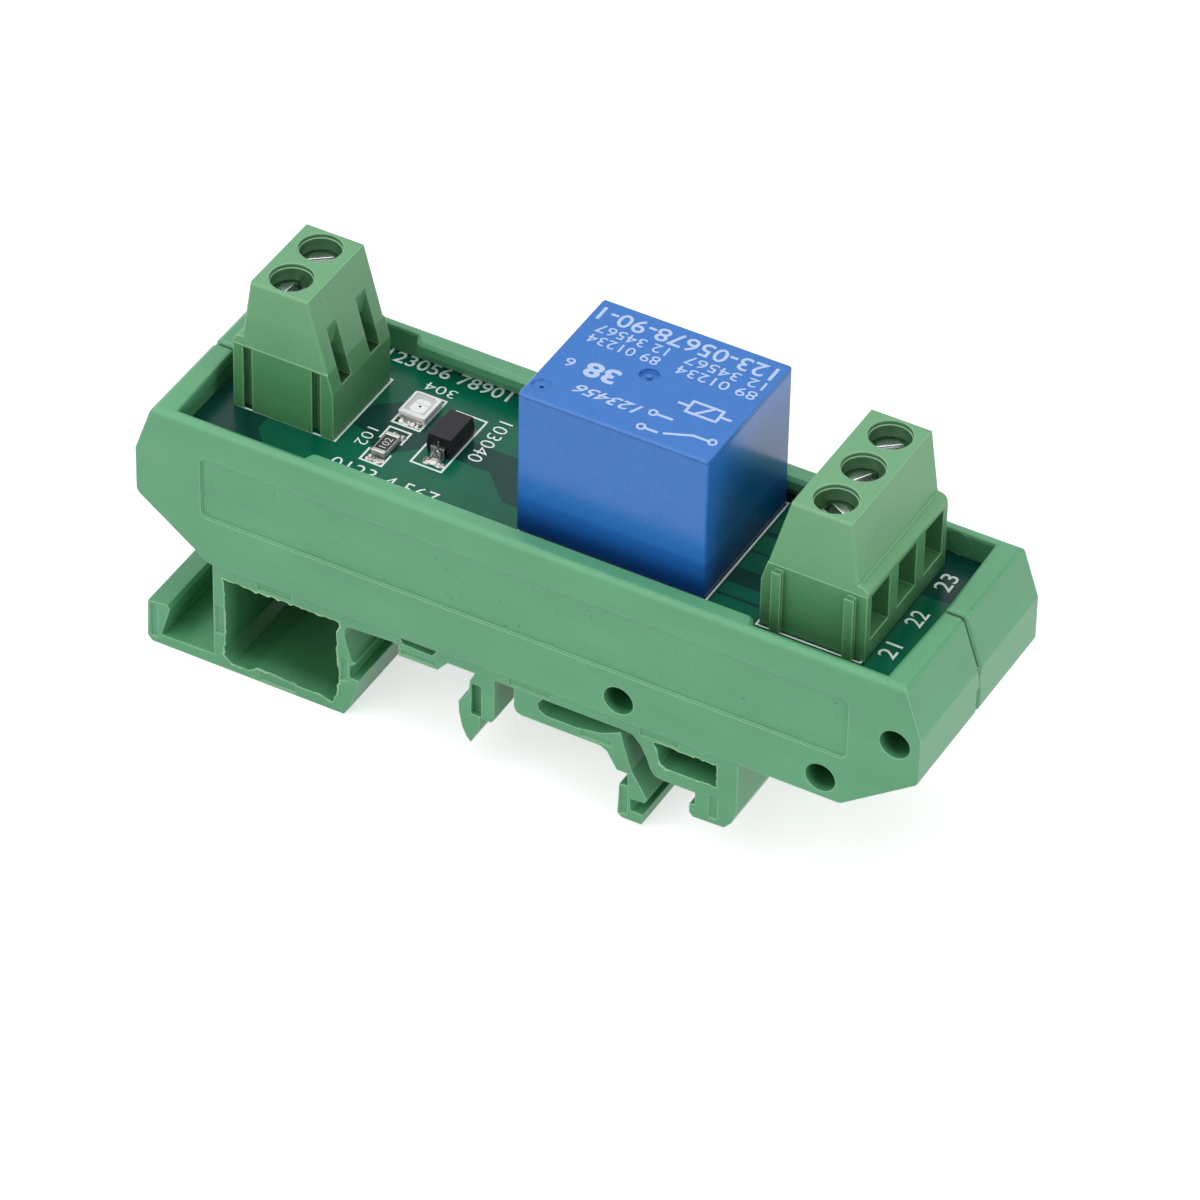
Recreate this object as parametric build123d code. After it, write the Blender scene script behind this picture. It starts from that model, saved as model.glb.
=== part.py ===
from build123d import *
import math
import os

# Relay module on a rail-mounting carrier, in millimetres, +Z up.
# The carrier is two mirrored mouldings that meet at mid width and clip on a 35 mm top-hat rail.
# X runs along the carrier, Y across it, and Z = 0 is the underside of the fixed foot block.
# Sizes of the carrier are drawn from its left end (X) and the lower edge of its side plate (Z),
# and of the board's parts from the top of the board. The place functions turn them into the frame.

# Carrier mouldings
LENGTH = 79.8
ELEMENT_WIDTH = 11.25
RIM_HEIGHT = 15.7
SIDE_LOW = 5.5
SIDE_HIGH = 10.5
BOTTOM_CORNER = 7.5
TOP_INSET = 1.75
PLATE_WALL = 1.1
FLOOR_WALL = 1.5
END_RIM_FACE = 4.0
END_DRAFT = 0.3
RIM_OUTER_ROUND = 0.7
RIM_INNER_ROUND = 0.35
RIM_END_BEVEL = 0.3
SEAM_BEVEL = 0.35
SEAM_GAP = 0.12
LIP_INSET_LEFT = 17.0
LIP_INSET_RIGHT = 17.3
LIP_REACH = 1.1
LIP_THICK = 1.2
LIP_SLANT = 0.5
LIP_CORNER = 0.3
SHELF_REACH = 1.1
SHELF_THICK = 1.5
GROOVE_DEPTH = 0.35
PANEL_INSET_LEFT = 6.8
PANEL_INSET_RIGHT = 7.1
PANEL_LOW = 5.2
PANEL_HIGH = 12.1
PANEL_DEPTH = 0.25
PANEL_ROUND = 0.8
BORE_DIAMETER = 3.0
BOSS_WALL = 1.1
PEG_CLEARANCE = 0.1
PEG_LENGTH = 5.2
PEG_SEAT = 1.2

# Rail foot, drawn downwards from the lower edge of the side plate
FOOT_HEIGHT = 12.2
FOOT_SETBACK = 0.3
STRIP = 1.35
BLOCK_WALL_X = 7.75
BLOCK_END_X = 21.5
RAIL_STOP_X = 22.15
RAIL_SLOT_HIGH = 6.2
RAIL_SLOT_LOW = 7.6
RAIL_WIDTH = 35.0
RAIL_PLAY = 0.65
CATCH_HIGH = 5.5
CATCH_LOW = 6.9
CATCH_BOTTOM = 8.4
CATCH_REACH = 0.55
FOOT_END_X = 62.0
LATCH_BOTTOM = 11.7
WINDOW_FLOOR = 11.0
POCKET_DEPTH = 0.18
ARROW_POCKET = 0.8
TAB_SLOT_X = 27.4
TAB_SLOT_LENGTH = 3.9
TAB_SLOT_DEPTH = 4.0

# Circuit board
BOARD_END = 3.9
BOARD_THICK = 1.6
BOARD_TOP = 12.9
BOARD_PLAY = 0.05

# Parts on the board: X from the carrier's left end, Y from the carrier's middle
PIN_BELOW = 1.9
HOLE_PLAY = 0.15
SOLDER_TALL = 1.15
SOLDER_FOOT = 0.75
SOLDER_TIP = 0.2
SOLDER_FIT = 0.08

# Screw terminal blocks
PITCH = 5.06
BLOCK_DEPTH = 10.4
BLOCK_HEIGHT = 14.68
BLOCK_BACK_HEIGHT = 5.1
BLOCK_BACK_LEAN = 2.6
BLOCK_FRONT_LEAN = 1.85
LEDGE_HEIGHT = 8.2
LEDGE_REACH = 0.95
LEDGE_ROUND = 0.8
BLOCK_EDGE = 0.15
PARTING_HEIGHT = 7.25
PARTING_STEP = 0.06
SCREW_SETBACK = 4.7
WELL_DIAMETER = 3.9
WELL_MOUTH_DIAMETER = 4.1
WELL_MOUTH_DEPTH = 0.45
HEAD_DIAMETER = 3.7
HEAD_HEIGHT = 1.75
HEAD_DEPTH = 1.6
HEAD_CROWN = 0.2
HEAD_CROWN_INSET = 0.5
HEAD_SLOT_WIDTH = 0.95
HEAD_SLOT_DEPTH = 0.95
SHANK_DIAMETER = 2.4
SHANK_PLAY = 0.1
SHANK_GUIDE_PLAY = 0.15
ENTRY_WIDTH = 3.45
ENTRY_LOW = 1.95
ENTRY_HIGH = 6.97
CAGE_CAVITY_HIGH = 10.3
CAGE_LENGTH = 3.6
CAGE_SIDE_PLAY = 0.1
CAGE_BEVEL = 0.2
CAGE_LOW = 0.7
CAGE_FLOOR = 0.9
CAGE_WINDOW_HIGH = 6.5
CAGE_TOP = 7.9
BAR_LOW = 4.2
BAR_THICK = 0.8
BAR_SIDE_PLAY = 0.1
BAR_LEG = 0.7
BAR_LEG_GAP = 0.35
PIN_WIDTH = 1.0
RIB_WIDTH = 0.95
RIB_ROOT = 0.7
RIB_HEIGHT = 6.85
RIB_REACH = 0.6
RIB_PLAY = 0.12
RIB_BACK = 1.75
RIB_FRONT = 8.9
PROBE_WIDTH = 1.75
PROBE_HIGH = 11.1
PROBE_KNEE = 8.2
PROBE_LOW = 5.35
PROBE_DEPTH = 1.25
INPUT_X = 6.06
INPUT_Y = 1.0
OUTPUT_INSET = 7.92
OUTPUT_Y = 0.7
INPUT_SLOT_ANGLES = (38.0, 85.0)
OUTPUT_SLOT_ANGLES = (-28.0, 60.0, 39.0)

# Relay
RELAY_TO_BLOCK = 5.63
RELAY_Y = 1.05
RELAY_LENGTH = 19.0
RELAY_WIDTH = 15.5
RELAY_HEIGHT = 15.7
RELAY_WALL = 0.8
RELAY_TOP_WALL = 0.9
RELAY_EDGE = 0.3
RELAY_TOP_EDGE = 0.14
RELAY_LINE_DROP = 0.36
RELAY_LINE = 0.09
DIMPLE_INSET_X = 1.3
DIMPLE_INSET_Y = 2.0
DIMPLE_DIAMETER = 1.9
DIMPLE_DEPTH = 0.35
PIT_DIAMETER = 0.4
PIT_DEPTH = 0.3
GATE_X = -0.78
GATE_Y = 0.28
GATE_DIAMETER = 0.6
GATE_SUNK = 0.1
RELAY_LIFT = 0.3
RELAY_BASE_THICK = 1.5
RELAY_FIT = 0.05
COIL_X = -0.5
COIL_LOW = 3.0
COIL_DROP = 1.25
COIL_FLANGE = 10.4
COIL_FLANGE_THICK = 0.8
COIL_BARREL = 5.0
WINDING_DIAMETER = 9.4
CORE_DIAMETER = 3.0
POLE_DIAMETER = 5.0
POLE_THICK = 0.7
YOKE_X = -7.8
YOKE_THICK = 1.0
YOKE_WIDTH = 9.0
HINGE_DROP = 3.95
YOKE_GAP = 0.08
AIR_GAP = 0.5
ARMATURE_THICK = 1.0
ARMATURE_END_X = 3.0
BLADE_THICK = 0.3
BLADE_WIDTH = 3.4
BLADE_CORNER = 0.8
RIVET_X = -4.5
RIVET_STEP = 2.5
RIVET_DIAMETER = 1.1
RIVET_HIGH = 0.25
CONTACT_X = 7.1
CONTACT_Y = 6.0
CONTACT_DIAMETER = 2.0
CONTACT_THICK = 0.45
CONTACT_GAP = 0.8
REST_GAP = 0.03
BRACKET_THICK = 0.5
TAIL_WIDTH = 1.0
TAIL_THICK = 0.6
COIL_PIN = 0.5
LUG_WALL = 0.45
BRACKET_WIDTH = 2.2
COMMON_X = -7.3
COIL_PIN_X = -5.2
COIL_PIN_Y = 6.0

# Surface-mounted parts, centre places from the carrier's left end and middle
LED_X = 21.1
LED_Y = 3.55
LED_SIZE_X = 2.8
LED_SIZE_Y = 3.3
LED_HEIGHT = 0.8
LED_CORNER = 0.12
LED_EDGE = 0.06
LED_WINDOW_X = 2.15
LED_WINDOW_Y = 2.6
LED_WINDOW_SHIFT = 0.12
LED_WINDOW_CUT = 0.4
LED_WINDOW_DEPTH = 0.25
LED_LENS_SUNK = 0.06
LED_LENS_PLAY = 0.02
LED_LEAD = 2.2
LED_LEAD_THICK = 0.12
LED_LEAD_HIGH = 0.42
LED_LEAD_FOOT = 0.3
RESISTOR_X = 21.02
RESISTOR_Y = -2.45
RESISTOR_LENGTH = 3.0
RESISTOR_WIDTH = 1.4
RESISTOR_HEIGHT = 0.6
CAP_LENGTH = 0.45
DIODE_X = 25.75
DIODE_Y = 0.95
DIODE_LENGTH = 4.2
DIODE_WIDTH = 2.6
DIODE_HEIGHT = 2.2
DIODE_TAPER = 0.14
DIODE_LEAD_WIDTH = 1.4
DIODE_LEAD_THICK = 0.2
DIODE_LEAD_REACH = 0.95
LIFT = 0.05


def px(x):
    """X in the frame of a place measured from the carrier's left end."""
    return x - LENGTH / 2


def pz(z):
    """Z in the frame of a height measured from the side plate's lower edge."""
    return z + FOOT_HEIGHT


def top(h):
    """Z in the frame of a height above the circuit board."""
    return pz(BOARD_TOP) + h


def block(x0, x1, y0, y1, z0, z1):
    """A box between two corners."""
    centre = ((x0 + x1) / 2, (y0 + y1) / 2, (z0 + z1) / 2)
    return Pos(*centre) * Box(x1 - x0, y1 - y0, z1 - z0)


def rod(x, y, z0, z1, diameter):
    """An upright cylinder."""
    return Pos(x, y, (z0 + z1) / 2) * Cylinder(diameter / 2, z1 - z0)


def cross_rod(x, z, y0, y1, diameter):
    """A cylinder that lies along Y."""
    return Pos(x, (y0 + y1) / 2, z) * Rot(90, 0, 0) * Cylinder(diameter / 2, y1 - y0)


def prism(points, y0, y1):
    """A carrier outline, as (x, z) from the drawing datum, run from y0 to y1."""
    outline = [(px(x), pz(z)) for x, z in points]
    face = Plane.XZ * make_face(Polyline(*outline, close=True))
    return Pos(0, y1, 0) * extrude(face, amount=y1 - y0)


def drawn(points, y0, y1):
    """An outline in frame (x, z) run from y0 to y1."""
    face = Plane.XZ * make_face(Polyline(*points, close=True))
    return Pos(0, y1, 0) * extrude(face, amount=y1 - y0)


# Carrier moulding. One half is drawn with its outer face at y = -ELEMENT_WIDTH
# and its open side at the seam, y = 0. The other half is its mirror image.
OUTER = -ELEMENT_WIDTH
SEAM = -SEAM_GAP / 2
BOARD_UNDER = BOARD_TOP - BOARD_THICK
END_RECESS = BOARD_END - 0.3
FOOT_FACE = OUTER + FOOT_SETBACK
RAIL_CATCH_X = RAIL_STOP_X + RAIL_WIDTH + RAIL_PLAY
SHELF_LOW = BOARD_UNDER - SHELF_THICK
PEGS = ((9.55, 2.1), (29.8, 2.1), (2.5, 9.05))
SOCKETS = tuple((LENGTH - x, z) for x, z in PEGS)


def tub_outline():
    """The eight-sided side view of the carrier's body."""
    return [
        (BOTTOM_CORNER, 0), (LENGTH - BOTTOM_CORNER, 0), (LENGTH, SIDE_LOW), (LENGTH, SIDE_HIGH),
        (LENGTH - TOP_INSET, RIM_HEIGHT), (TOP_INSET, RIM_HEIGHT), (0, SIDE_HIGH), (0, SIDE_LOW),
    ]


def shell_block():
    """The solid body of one half with its rounded rim, corners and seam edge."""
    body = prism(tub_outline(), OUTER, SEAM)
    corners = body.edges().filter_by(Axis.Y).filter_by(lambda e: e.center().Z < pz(SIDE_LOW + 0.1))
    body = fillet(corners, 1.0)
    rim_ends = body.edges().filter_by(Axis.Y).filter_by(lambda e: e.center().Z > pz(RIM_HEIGHT - 0.1))
    body = chamfer(rim_ends, RIM_END_BEVEL)
    front_top = body.edges().filter_by(Axis.X).group_by(Axis.Y)[0].sort_by(Axis.Z)[-1]
    body = fillet(front_top, RIM_OUTER_ROUND)
    seam_edges = body.faces().sort_by(Axis.Y)[-1].edges()
    return chamfer(seam_edges.filter_by(lambda e: e.center().Z > pz(SIDE_LOW)), SEAM_BEVEL)


def tray_cutters():
    """The spaces inside one half: below the board, the board's groove and above the board."""
    inner = OUTER + PLATE_WALL
    slope = (BOTTOM_CORNER + FLOOR_WALL * 0.6, LENGTH - BOTTOM_CORNER - FLOOR_WALL * 0.6)
    below = [
        (slope[0], FLOOR_WALL), (slope[1], FLOOR_WALL),
        (LENGTH - FLOOR_WALL, SIDE_LOW + FLOOR_WALL * 0.45), (LENGTH - FLOOR_WALL, SHELF_LOW),
        (FLOOR_WALL, SHELF_LOW), (FLOOR_WALL, SIDE_LOW + FLOOR_WALL * 0.45),
    ]
    shelf_x = BOARD_END + SHELF_REACH
    shelf = block(px(shelf_x), px(LENGTH - shelf_x), inner + SHELF_REACH, 1,
                  pz(SHELF_LOW - 1), pz(BOARD_UNDER))
    groove_x = BOARD_END - BOARD_PLAY
    groove = block(px(groove_x), px(LENGTH - groove_x), inner - GROOVE_DEPTH, 1,
                   pz(BOARD_UNDER), pz(BOARD_TOP + BOARD_PLAY))
    recess = block(px(END_RECESS), px(LENGTH - END_RECESS), inner, 1,
                   pz(BOARD_UNDER), pz(RIM_HEIGHT - LIP_THICK))
    mouth_plan = [
        (px(END_RIM_FACE), inner), (px(LENGTH - END_RIM_FACE), inner),
        (px(LENGTH - END_RIM_FACE + END_DRAFT), 1), (px(END_RIM_FACE - END_DRAFT), 1),
    ]
    mouth_face = Pos(0, 0, pz(RIM_HEIGHT - LIP_THICK - 0.1)) * make_face(Polyline(*mouth_plan, close=True))
    mouth = extrude(mouth_face, amount=LIP_THICK + 2)
    return [prism(below, inner, 1), shelf, groove, recess, mouth + rim_flare(mouth_face)]


def rim_flare(mouth_face):
    """The widening that rounds the rim's inner edge, in two slanted steps."""
    lower = Pos(0, 0, LIP_THICK + 0.1 - RIM_INNER_ROUND) * mouth_face
    first = extrude(lower, amount=RIM_INNER_ROUND * 0.707, taper=-22.5)
    upper = first.faces().sort_by(Axis.Z)[-1]
    return first + extrude(upper, amount=RIM_INNER_ROUND * 0.293, dir=(0, 0, 1), taper=-67.5)


def wall_lip():
    """The lip that overhangs the board along the middle of a long wall."""
    inner = OUTER + PLATE_WALL
    reach = inner + LIP_REACH
    root = inner - (PLATE_WALL - RIM_INNER_ROUND) / 2
    start = px(LIP_INSET_LEFT)
    end = px(LENGTH - LIP_INSET_RIGHT)
    plan = [
        (start, root), (start, inner), (start + LIP_SLANT, reach),
        (end - LIP_SLANT, reach), (end, inner), (end, root),
    ]
    face = Pos(0, 0, pz(RIM_HEIGHT - LIP_THICK)) * make_face(Polyline(*plan, close=True))
    lip = extrude(face, amount=LIP_THICK)
    corners = lip.edges().filter_by(Axis.Z).filter_by(lambda e: e.center().Y > inner + LIP_REACH / 2)
    lip = chamfer(corners, LIP_CORNER)
    crown = lip.faces().sort_by(Axis.Z)[-1].edges().filter_by(lambda e: e.center().Y > inner + LIP_REACH / 4)
    return chamfer(crown, RIM_INNER_ROUND)


def foot_profiles():
    """Outlines of the rail foot as (x, z) lists: parts that are kept and parts that are cut."""
    slot_mid = -(RAIL_SLOT_HIGH - 0.55)
    fixed_block = [
        (BLOCK_WALL_X, 0), (BLOCK_WALL_X, -WINDOW_FLOOR), (2.05, -WINDOW_FLOOR - 0.1), (3.05, -7.7),
        (2.75, -7.3), (0.7, -7.5), (0.6, -11.7), (1.1, -FOOT_HEIGHT), (BLOCK_END_X, -FOOT_HEIGHT),
        (RAIL_STOP_X, -11.2), (RAIL_STOP_X + 0.95, -RAIL_SLOT_LOW), (RAIL_STOP_X, -RAIL_SLOT_LOW),
        (RAIL_STOP_X, -RAIL_SLOT_HIGH), (RAIL_STOP_X + 0.65, slot_mid), (RAIL_STOP_X + 0.2, slot_mid + 0.1),
        (21.85, -3.8), (21.6, -2.9), (21.6, -2.2), (21.95, -1.6), (26.2, -STRIP), (27.3, -STRIP),
        (27.3, -2.65), (31.35, -2.6), (32.4, -STRIP), (35.2, -STRIP), (35.2, 0),
    ]
    arrow = [
        (35.2, -STRIP + 0.3), (35.2, -STRIP), (34.7, -2.4), (34.55, -4.0), (33.55, -5.3), (33.6, -6.6),
        (33.95, -8.2), (34.4, -9.2), (34.85, -9.65), (35.65, -8.05), (35.75, -6.45), (36.9, -6.45),
        (37.2, -6.1), (37.2, -STRIP), (37.2, -STRIP + 0.3),
    ]
    spring = [
        (39.25, -STRIP + 0.3), (39.25, -3.5), (39.5, -4.0), (40.05, -4.2), (48.1, -4.2), (48.8, -4.55),
        (49.85, -6.3), (50.9, -6.3), (51.05, -7.75), (50.15, -7.85), (50.0, -11.3), (50.45, -LATCH_BOTTOM),
        (52.5, -LATCH_BOTTOM), (52.6, -10.55), (51.35, -10.6), (51.2, -9.15), (52.75, -9.05), (53.0, -8.6),
        (51.3, -5.8), (50.4, -2.9), (50.15, -1.8), (48.2, -2.75), (45.6, -3.2), (42.5, -3.2),
        (41.8, -2.75), (41.65, -2.1), (42.1, -1.5), (42.1, -STRIP + 0.3),
    ]
    catch_x = RAIL_CATCH_X
    catch = [
        (50.4, -STRIP + 0.3), (50.4, -STRIP), (51.4, -1.5), (52.2, -2.35), (52.85, -3.6), (53.3, -4.85),
        (53.8, -5.4), (54.4, -CATCH_HIGH), (catch_x, -CATCH_HIGH), (catch_x, -CATCH_LOW),
        (catch_x - CATCH_REACH, -CATCH_LOW - 0.15), (catch_x - CATCH_REACH, -CATCH_BOTTOM + 0.4),
        (catch_x - CATCH_REACH + 0.4, -CATCH_BOTTOM), (60.8, -CATCH_BOTTOM + 0.1), (61.5, -7.5),
        (FOOT_END_X, -6.2), (FOOT_END_X, 0), (52.0, 0),
    ]
    strip = [(35.0, 0), (35.0, -STRIP), (53.0, -STRIP), (53.0, 0)]
    window = [
        (8.75, -1.5), (8.95, -3.0), (9.0, -8.3), (8.75, -10.6), (9.6, -WINDOW_FLOOR - 0.35),
        (11.4, -WINDOW_FLOOR - 0.35), (12.4, -WINDOW_FLOOR + 0.25), (14.9, -WINDOW_FLOOR + 0.25),
        (16.5, -WINDOW_FLOOR), (19.0, -WINDOW_FLOOR), (20.4, -WINDOW_FLOOR - 0.3), (20.9, -9.6),
        (21.15, -8.3), (20.95, -5.4), (20.8, -2.6), (21.2, -1.8), (21.1, -STRIP),
    ]
    catch_window = [
        (53.45, -1.5), (53.8, -STRIP), (59.95, -STRIP), (59.95, -3.95), (54.8, -4.0), (54.15, -3.75),
        (53.85, -2.5),
    ]
    return [fixed_block, arrow, spring, catch, strip], [window, catch_window]


def foot_pockets():
    """Shallow moulded pockets on the foot's outer face, as (x0, x1, z0, z1, depth)."""
    return [
        (0.9, 1.65, -11.6, -7.75, POCKET_DEPTH), (7.95, 8.85, -8.3, -5.0, POCKET_DEPTH),
        (12.5, 16.1, -1.25, -0.15, POCKET_DEPTH), (12.55, 16.4, -12.0, -10.95, POCKET_DEPTH),
        (21.2, 21.9, -8.2, -5.5, POCKET_DEPTH), (27.5, 31.2, -2.45, -1.75, POCKET_DEPTH),
        (34.85, 35.9, -6.3, -2.7, ARROW_POCKET), (38.7, 42.9, -1.15, -0.15, POCKET_DEPTH),
        (46.0, 49.3, -3.95, -3.2, POCKET_DEPTH), (50.2, 51.0, -11.3, -8.1, POCKET_DEPTH),
        (52.1, 56.0, -1.2, -0.15, POCKET_DEPTH), (59.2, 60.05, -7.8, -5.1, POCKET_DEPTH),
    ]


def rail_foot():
    """The rail foot of one half: fixed block, arrow hook, sprung latch and catch."""
    kept, cuts = foot_profiles()
    foot = prism(kept[0], FOOT_FACE, SEAM)
    for outline in kept[1:]:
        foot += prism(outline, FOOT_FACE, SEAM)
    for outline in cuts:
        foot -= prism(outline, FOOT_FACE - 1, SEAM + 1)
    tab_end = TAB_SLOT_X + TAB_SLOT_LENGTH
    tab_slot = [(TAB_SLOT_X, -0.5), (tab_end, -0.5), (tab_end - 0.55, -1.25), (TAB_SLOT_X + 0.35, -1.15)]
    foot -= prism(tab_slot, FOOT_FACE - 1, FOOT_FACE + TAB_SLOT_DEPTH)
    for x0, x1, z0, z1, depth in foot_pockets():
        foot -= block(px(x0), px(x1), FOOT_FACE - 1, FOOT_FACE + depth, pz(z0), pz(z1))
    return foot


def carrier_half(sockets, pegs):
    """One moulding, outer face at -Y: sockets are through bores, pegs reach into the other half."""
    body = shell_block()
    outside = prism(tub_outline(), OUTER, SEAM)
    cutters = tray_cutters()
    body -= cutters[0]
    boss = BORE_DIAMETER + 2 * BOSS_WALL
    for x, z in sockets + pegs:
        body += cross_rod(px(x), pz(z), OUTER + PLATE_WALL / 2, SEAM, boss) & outside
    for cutter in cutters[1:]:
        body -= cutter
    body += wall_lip()
    body += rail_foot()
    panel = block(px(PANEL_INSET_LEFT), px(LENGTH - PANEL_INSET_RIGHT), OUTER - 1, OUTER + PANEL_DEPTH,
                  pz(PANEL_LOW), pz(PANEL_HIGH))
    body -= fillet(panel.edges().filter_by(Axis.Y), PANEL_ROUND)
    for x, z in sockets:
        body -= cross_rod(px(x), pz(z), OUTER - 1, SEAM + 1, BORE_DIAMETER)
    peg = BORE_DIAMETER - 2 * PEG_CLEARANCE
    for x, z in pegs:
        body += cross_rod(px(x), pz(z), SEAM - PEG_SEAT, -SEAM + PEG_LENGTH, peg)
    return body


def board():
    """The circuit board with its pin holes."""
    half = ELEMENT_WIDTH - PLATE_WALL + GROOVE_DEPTH - BOARD_PLAY
    plate = block(px(BOARD_END), px(LENGTH - BOARD_END), -half, half, pz(BOARD_UNDER), pz(BOARD_TOP))
    plate = fillet(plate.edges().filter_by(Axis.Z), 0.5)
    for x, y, width in pin_places():
        plate -= rod(x, y, pz(BOARD_UNDER) - 1, pz(BOARD_TOP) + 1, width + 2 * HOLE_PLAY)
    return plate


def input_poles():
    """Y places of the two-way block's poles."""
    return [INPUT_Y + (i - 0.5) * PITCH for i in range(2)]


def output_poles():
    """Y places of the three-way block's poles."""
    return [OUTPUT_Y + (i - 1) * PITCH for i in range(3)]


# A terminal block is drawn with its wire face at x = 0 and its body towards -X.
# The input block is turned half a turn, so that its wire face points to -X.
BAR_LEG_X = -(SCREW_SETBACK + CAGE_LENGTH / 2 + BAR_LEG_GAP + BAR_LEG)
CAVITY_BACK = BAR_LEG_X - CAGE_SIDE_PLAY
CAGE_WIDTH = ENTRY_WIDTH - 2 * CAGE_SIDE_PLAY
CAGE_WALL = (CAGE_WIDTH - SHANK_DIAMETER) / 2 - SHANK_PLAY
OUTPUT_X = LENGTH - OUTPUT_INSET - BLOCK_DEPTH
RELAY_X = OUTPUT_X - RELAY_TO_BLOCK - RELAY_LENGTH
BAR_WIDTH = CAGE_WIDTH - 2 * CAGE_WALL - 2 * BAR_SIDE_PLAY
CAGE_LIFT = BAR_LOW - CAGE_LOW - CAGE_FLOOR - 0.3
HEAD_SEAT = BLOCK_HEIGHT - HEAD_DEPTH - HEAD_HEIGHT
SHANK_END = BAR_LOW + BAR_THICK + 0.3


def block_place(x_face, y_middle, turned):
    """The location that puts a drawn terminal block on the board."""
    return Pos(px(x_face), y_middle, top(0)) * Rot(0, 0, 180 if turned else 0)


def block_profile():
    """Side view of a terminal block, as (x, height above the board)."""
    return [
        (-BLOCK_DEPTH, 0), (-BLOCK_DEPTH, BLOCK_BACK_HEIGHT), (-BLOCK_DEPTH + BLOCK_BACK_LEAN, BLOCK_HEIGHT),
        (-BLOCK_FRONT_LEAN, BLOCK_HEIGHT), (-LEDGE_REACH, LEDGE_HEIGHT), (0, LEDGE_HEIGHT - 0.1), (0, 0),
    ]


def block_ribs(width, reach, height, y_face, outward):
    """Dovetail bars that join neighbouring blocks, on the face at y_face."""
    bars = []
    for back in (RIB_BACK, RIB_FRONT):
        x = -BLOCK_DEPTH + back
        root = RIB_ROOT * width / RIB_WIDTH
        tip = y_face + outward * reach
        inner = y_face - outward * 0.05
        plan = [(x - root / 2, inner), (x + root / 2, inner), (x + width / 2, tip), (x - width / 2, tip)]
        bars.append(extrude(make_face(Polyline(*plan, close=True)), amount=height))
    return bars


def probe_slot(y):
    """The test slot in the leaning back of a block, open to the clamp space in its lower part."""
    lean = BLOCK_BACK_LEAN / (BLOCK_HEIGHT - BLOCK_BACK_HEIGHT)
    back_at = [-BLOCK_DEPTH + lean * (h - BLOCK_BACK_HEIGHT) for h in (PROBE_HIGH, PROBE_KNEE, PROBE_LOW)]
    wedge = [
        (back_at[0], PROBE_HIGH), (back_at[1] + PROBE_DEPTH, PROBE_KNEE), (CAVITY_BACK + 0.1, PROBE_KNEE),
        (CAVITY_BACK + 0.1, PROBE_LOW), (back_at[2] - 1, PROBE_LOW), (back_at[2] - 1, PROBE_HIGH),
    ]
    return drawn(wedge, y - PROBE_WIDTH / 2, y + PROBE_WIDTH / 2)


def terminal_housing(poles):
    """The moulded body of a terminal block with its wells, entries and clamp spaces."""
    half = poles * PITCH / 2
    body = drawn(block_profile(), -half, half)
    for y0, y1 in ((-half - 1, -half + PARTING_STEP), (half - PARTING_STEP, half + 1)):
        body -= block(-BLOCK_DEPTH - 1, 1, y0, y1, PARTING_HEIGHT, BLOCK_HEIGHT + 1)
    body = fillet(body.edges().filter_by(Axis.Y).filter_by(
        lambda e: abs(e.center().X) < 0.01 and e.center().Z > LEDGE_HEIGHT - 0.3), LEDGE_ROUND)
    side_edges = body.faces().filter_by(Axis.Y).edges().filter_by(lambda e: e.center().Z > LEDGE_HEIGHT + 0.3)
    body = chamfer(side_edges, BLOCK_EDGE)
    ys = [(i - (poles - 1) / 2) * PITCH for i in range(poles)]
    cage_front = -(SCREW_SETBACK - CAGE_LENGTH / 2 - CAGE_SIDE_PLAY)
    mouth_low = BLOCK_HEIGHT - WELL_MOUTH_DEPTH
    guide = SHANK_DIAMETER + 2 * SHANK_GUIDE_PLAY
    for y in ys:
        y0 = y - ENTRY_WIDTH / 2
        y1 = y + ENTRY_WIDTH / 2
        body -= block(CAVITY_BACK, 1, y0, y1, ENTRY_LOW, ENTRY_HIGH)
        body -= block(CAVITY_BACK, cage_front, y0, y1, -1, CAGE_CAVITY_HIGH)
        body -= rod(-SCREW_SETBACK, y, HEAD_SEAT, BLOCK_HEIGHT + 1, WELL_DIAMETER)
        body -= rod(-SCREW_SETBACK, y, mouth_low, BLOCK_HEIGHT + 1, WELL_MOUTH_DIAMETER)
        body -= rod(-SCREW_SETBACK, y, CAGE_CAVITY_HIGH - 1, HEAD_SEAT + 1, guide)
        body -= probe_slot(y)
    for bar in block_ribs(RIB_WIDTH, RIB_REACH, RIB_HEIGHT, -half, -1):
        body += bar
    groove_width = RIB_WIDTH + 2 * RIB_PLAY
    for bar in block_ribs(groove_width, RIB_REACH + RIB_PLAY, RIB_HEIGHT + 2 * RIB_PLAY, half, -1):
        body -= bar
    return body


def terminal_screw(y, slot_angle):
    """A slotted clamp screw, its head on the seat in the well."""
    head_top = HEAD_SEAT + HEAD_HEIGHT
    head = rod(-SCREW_SETBACK, y, HEAD_SEAT, head_top - HEAD_CROWN, HEAD_DIAMETER)
    crown = Cone(HEAD_DIAMETER / 2, HEAD_DIAMETER / 2 - HEAD_CROWN_INSET, HEAD_CROWN)
    head += Pos(-SCREW_SETBACK, y, head_top - HEAD_CROWN / 2) * crown
    slot = Box(HEAD_DIAMETER + 1, HEAD_SLOT_WIDTH, HEAD_SLOT_DEPTH)
    head -= Pos(-SCREW_SETBACK, y, head_top - HEAD_SLOT_DEPTH / 2) * Rot(0, 0, slot_angle) * slot
    shank = rod(-SCREW_SETBACK, y, SHANK_END, HEAD_SEAT, SHANK_DIAMETER)
    return head + chamfer(shank.edges().sort_by(Axis.Z)[0], 0.3)


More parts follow.
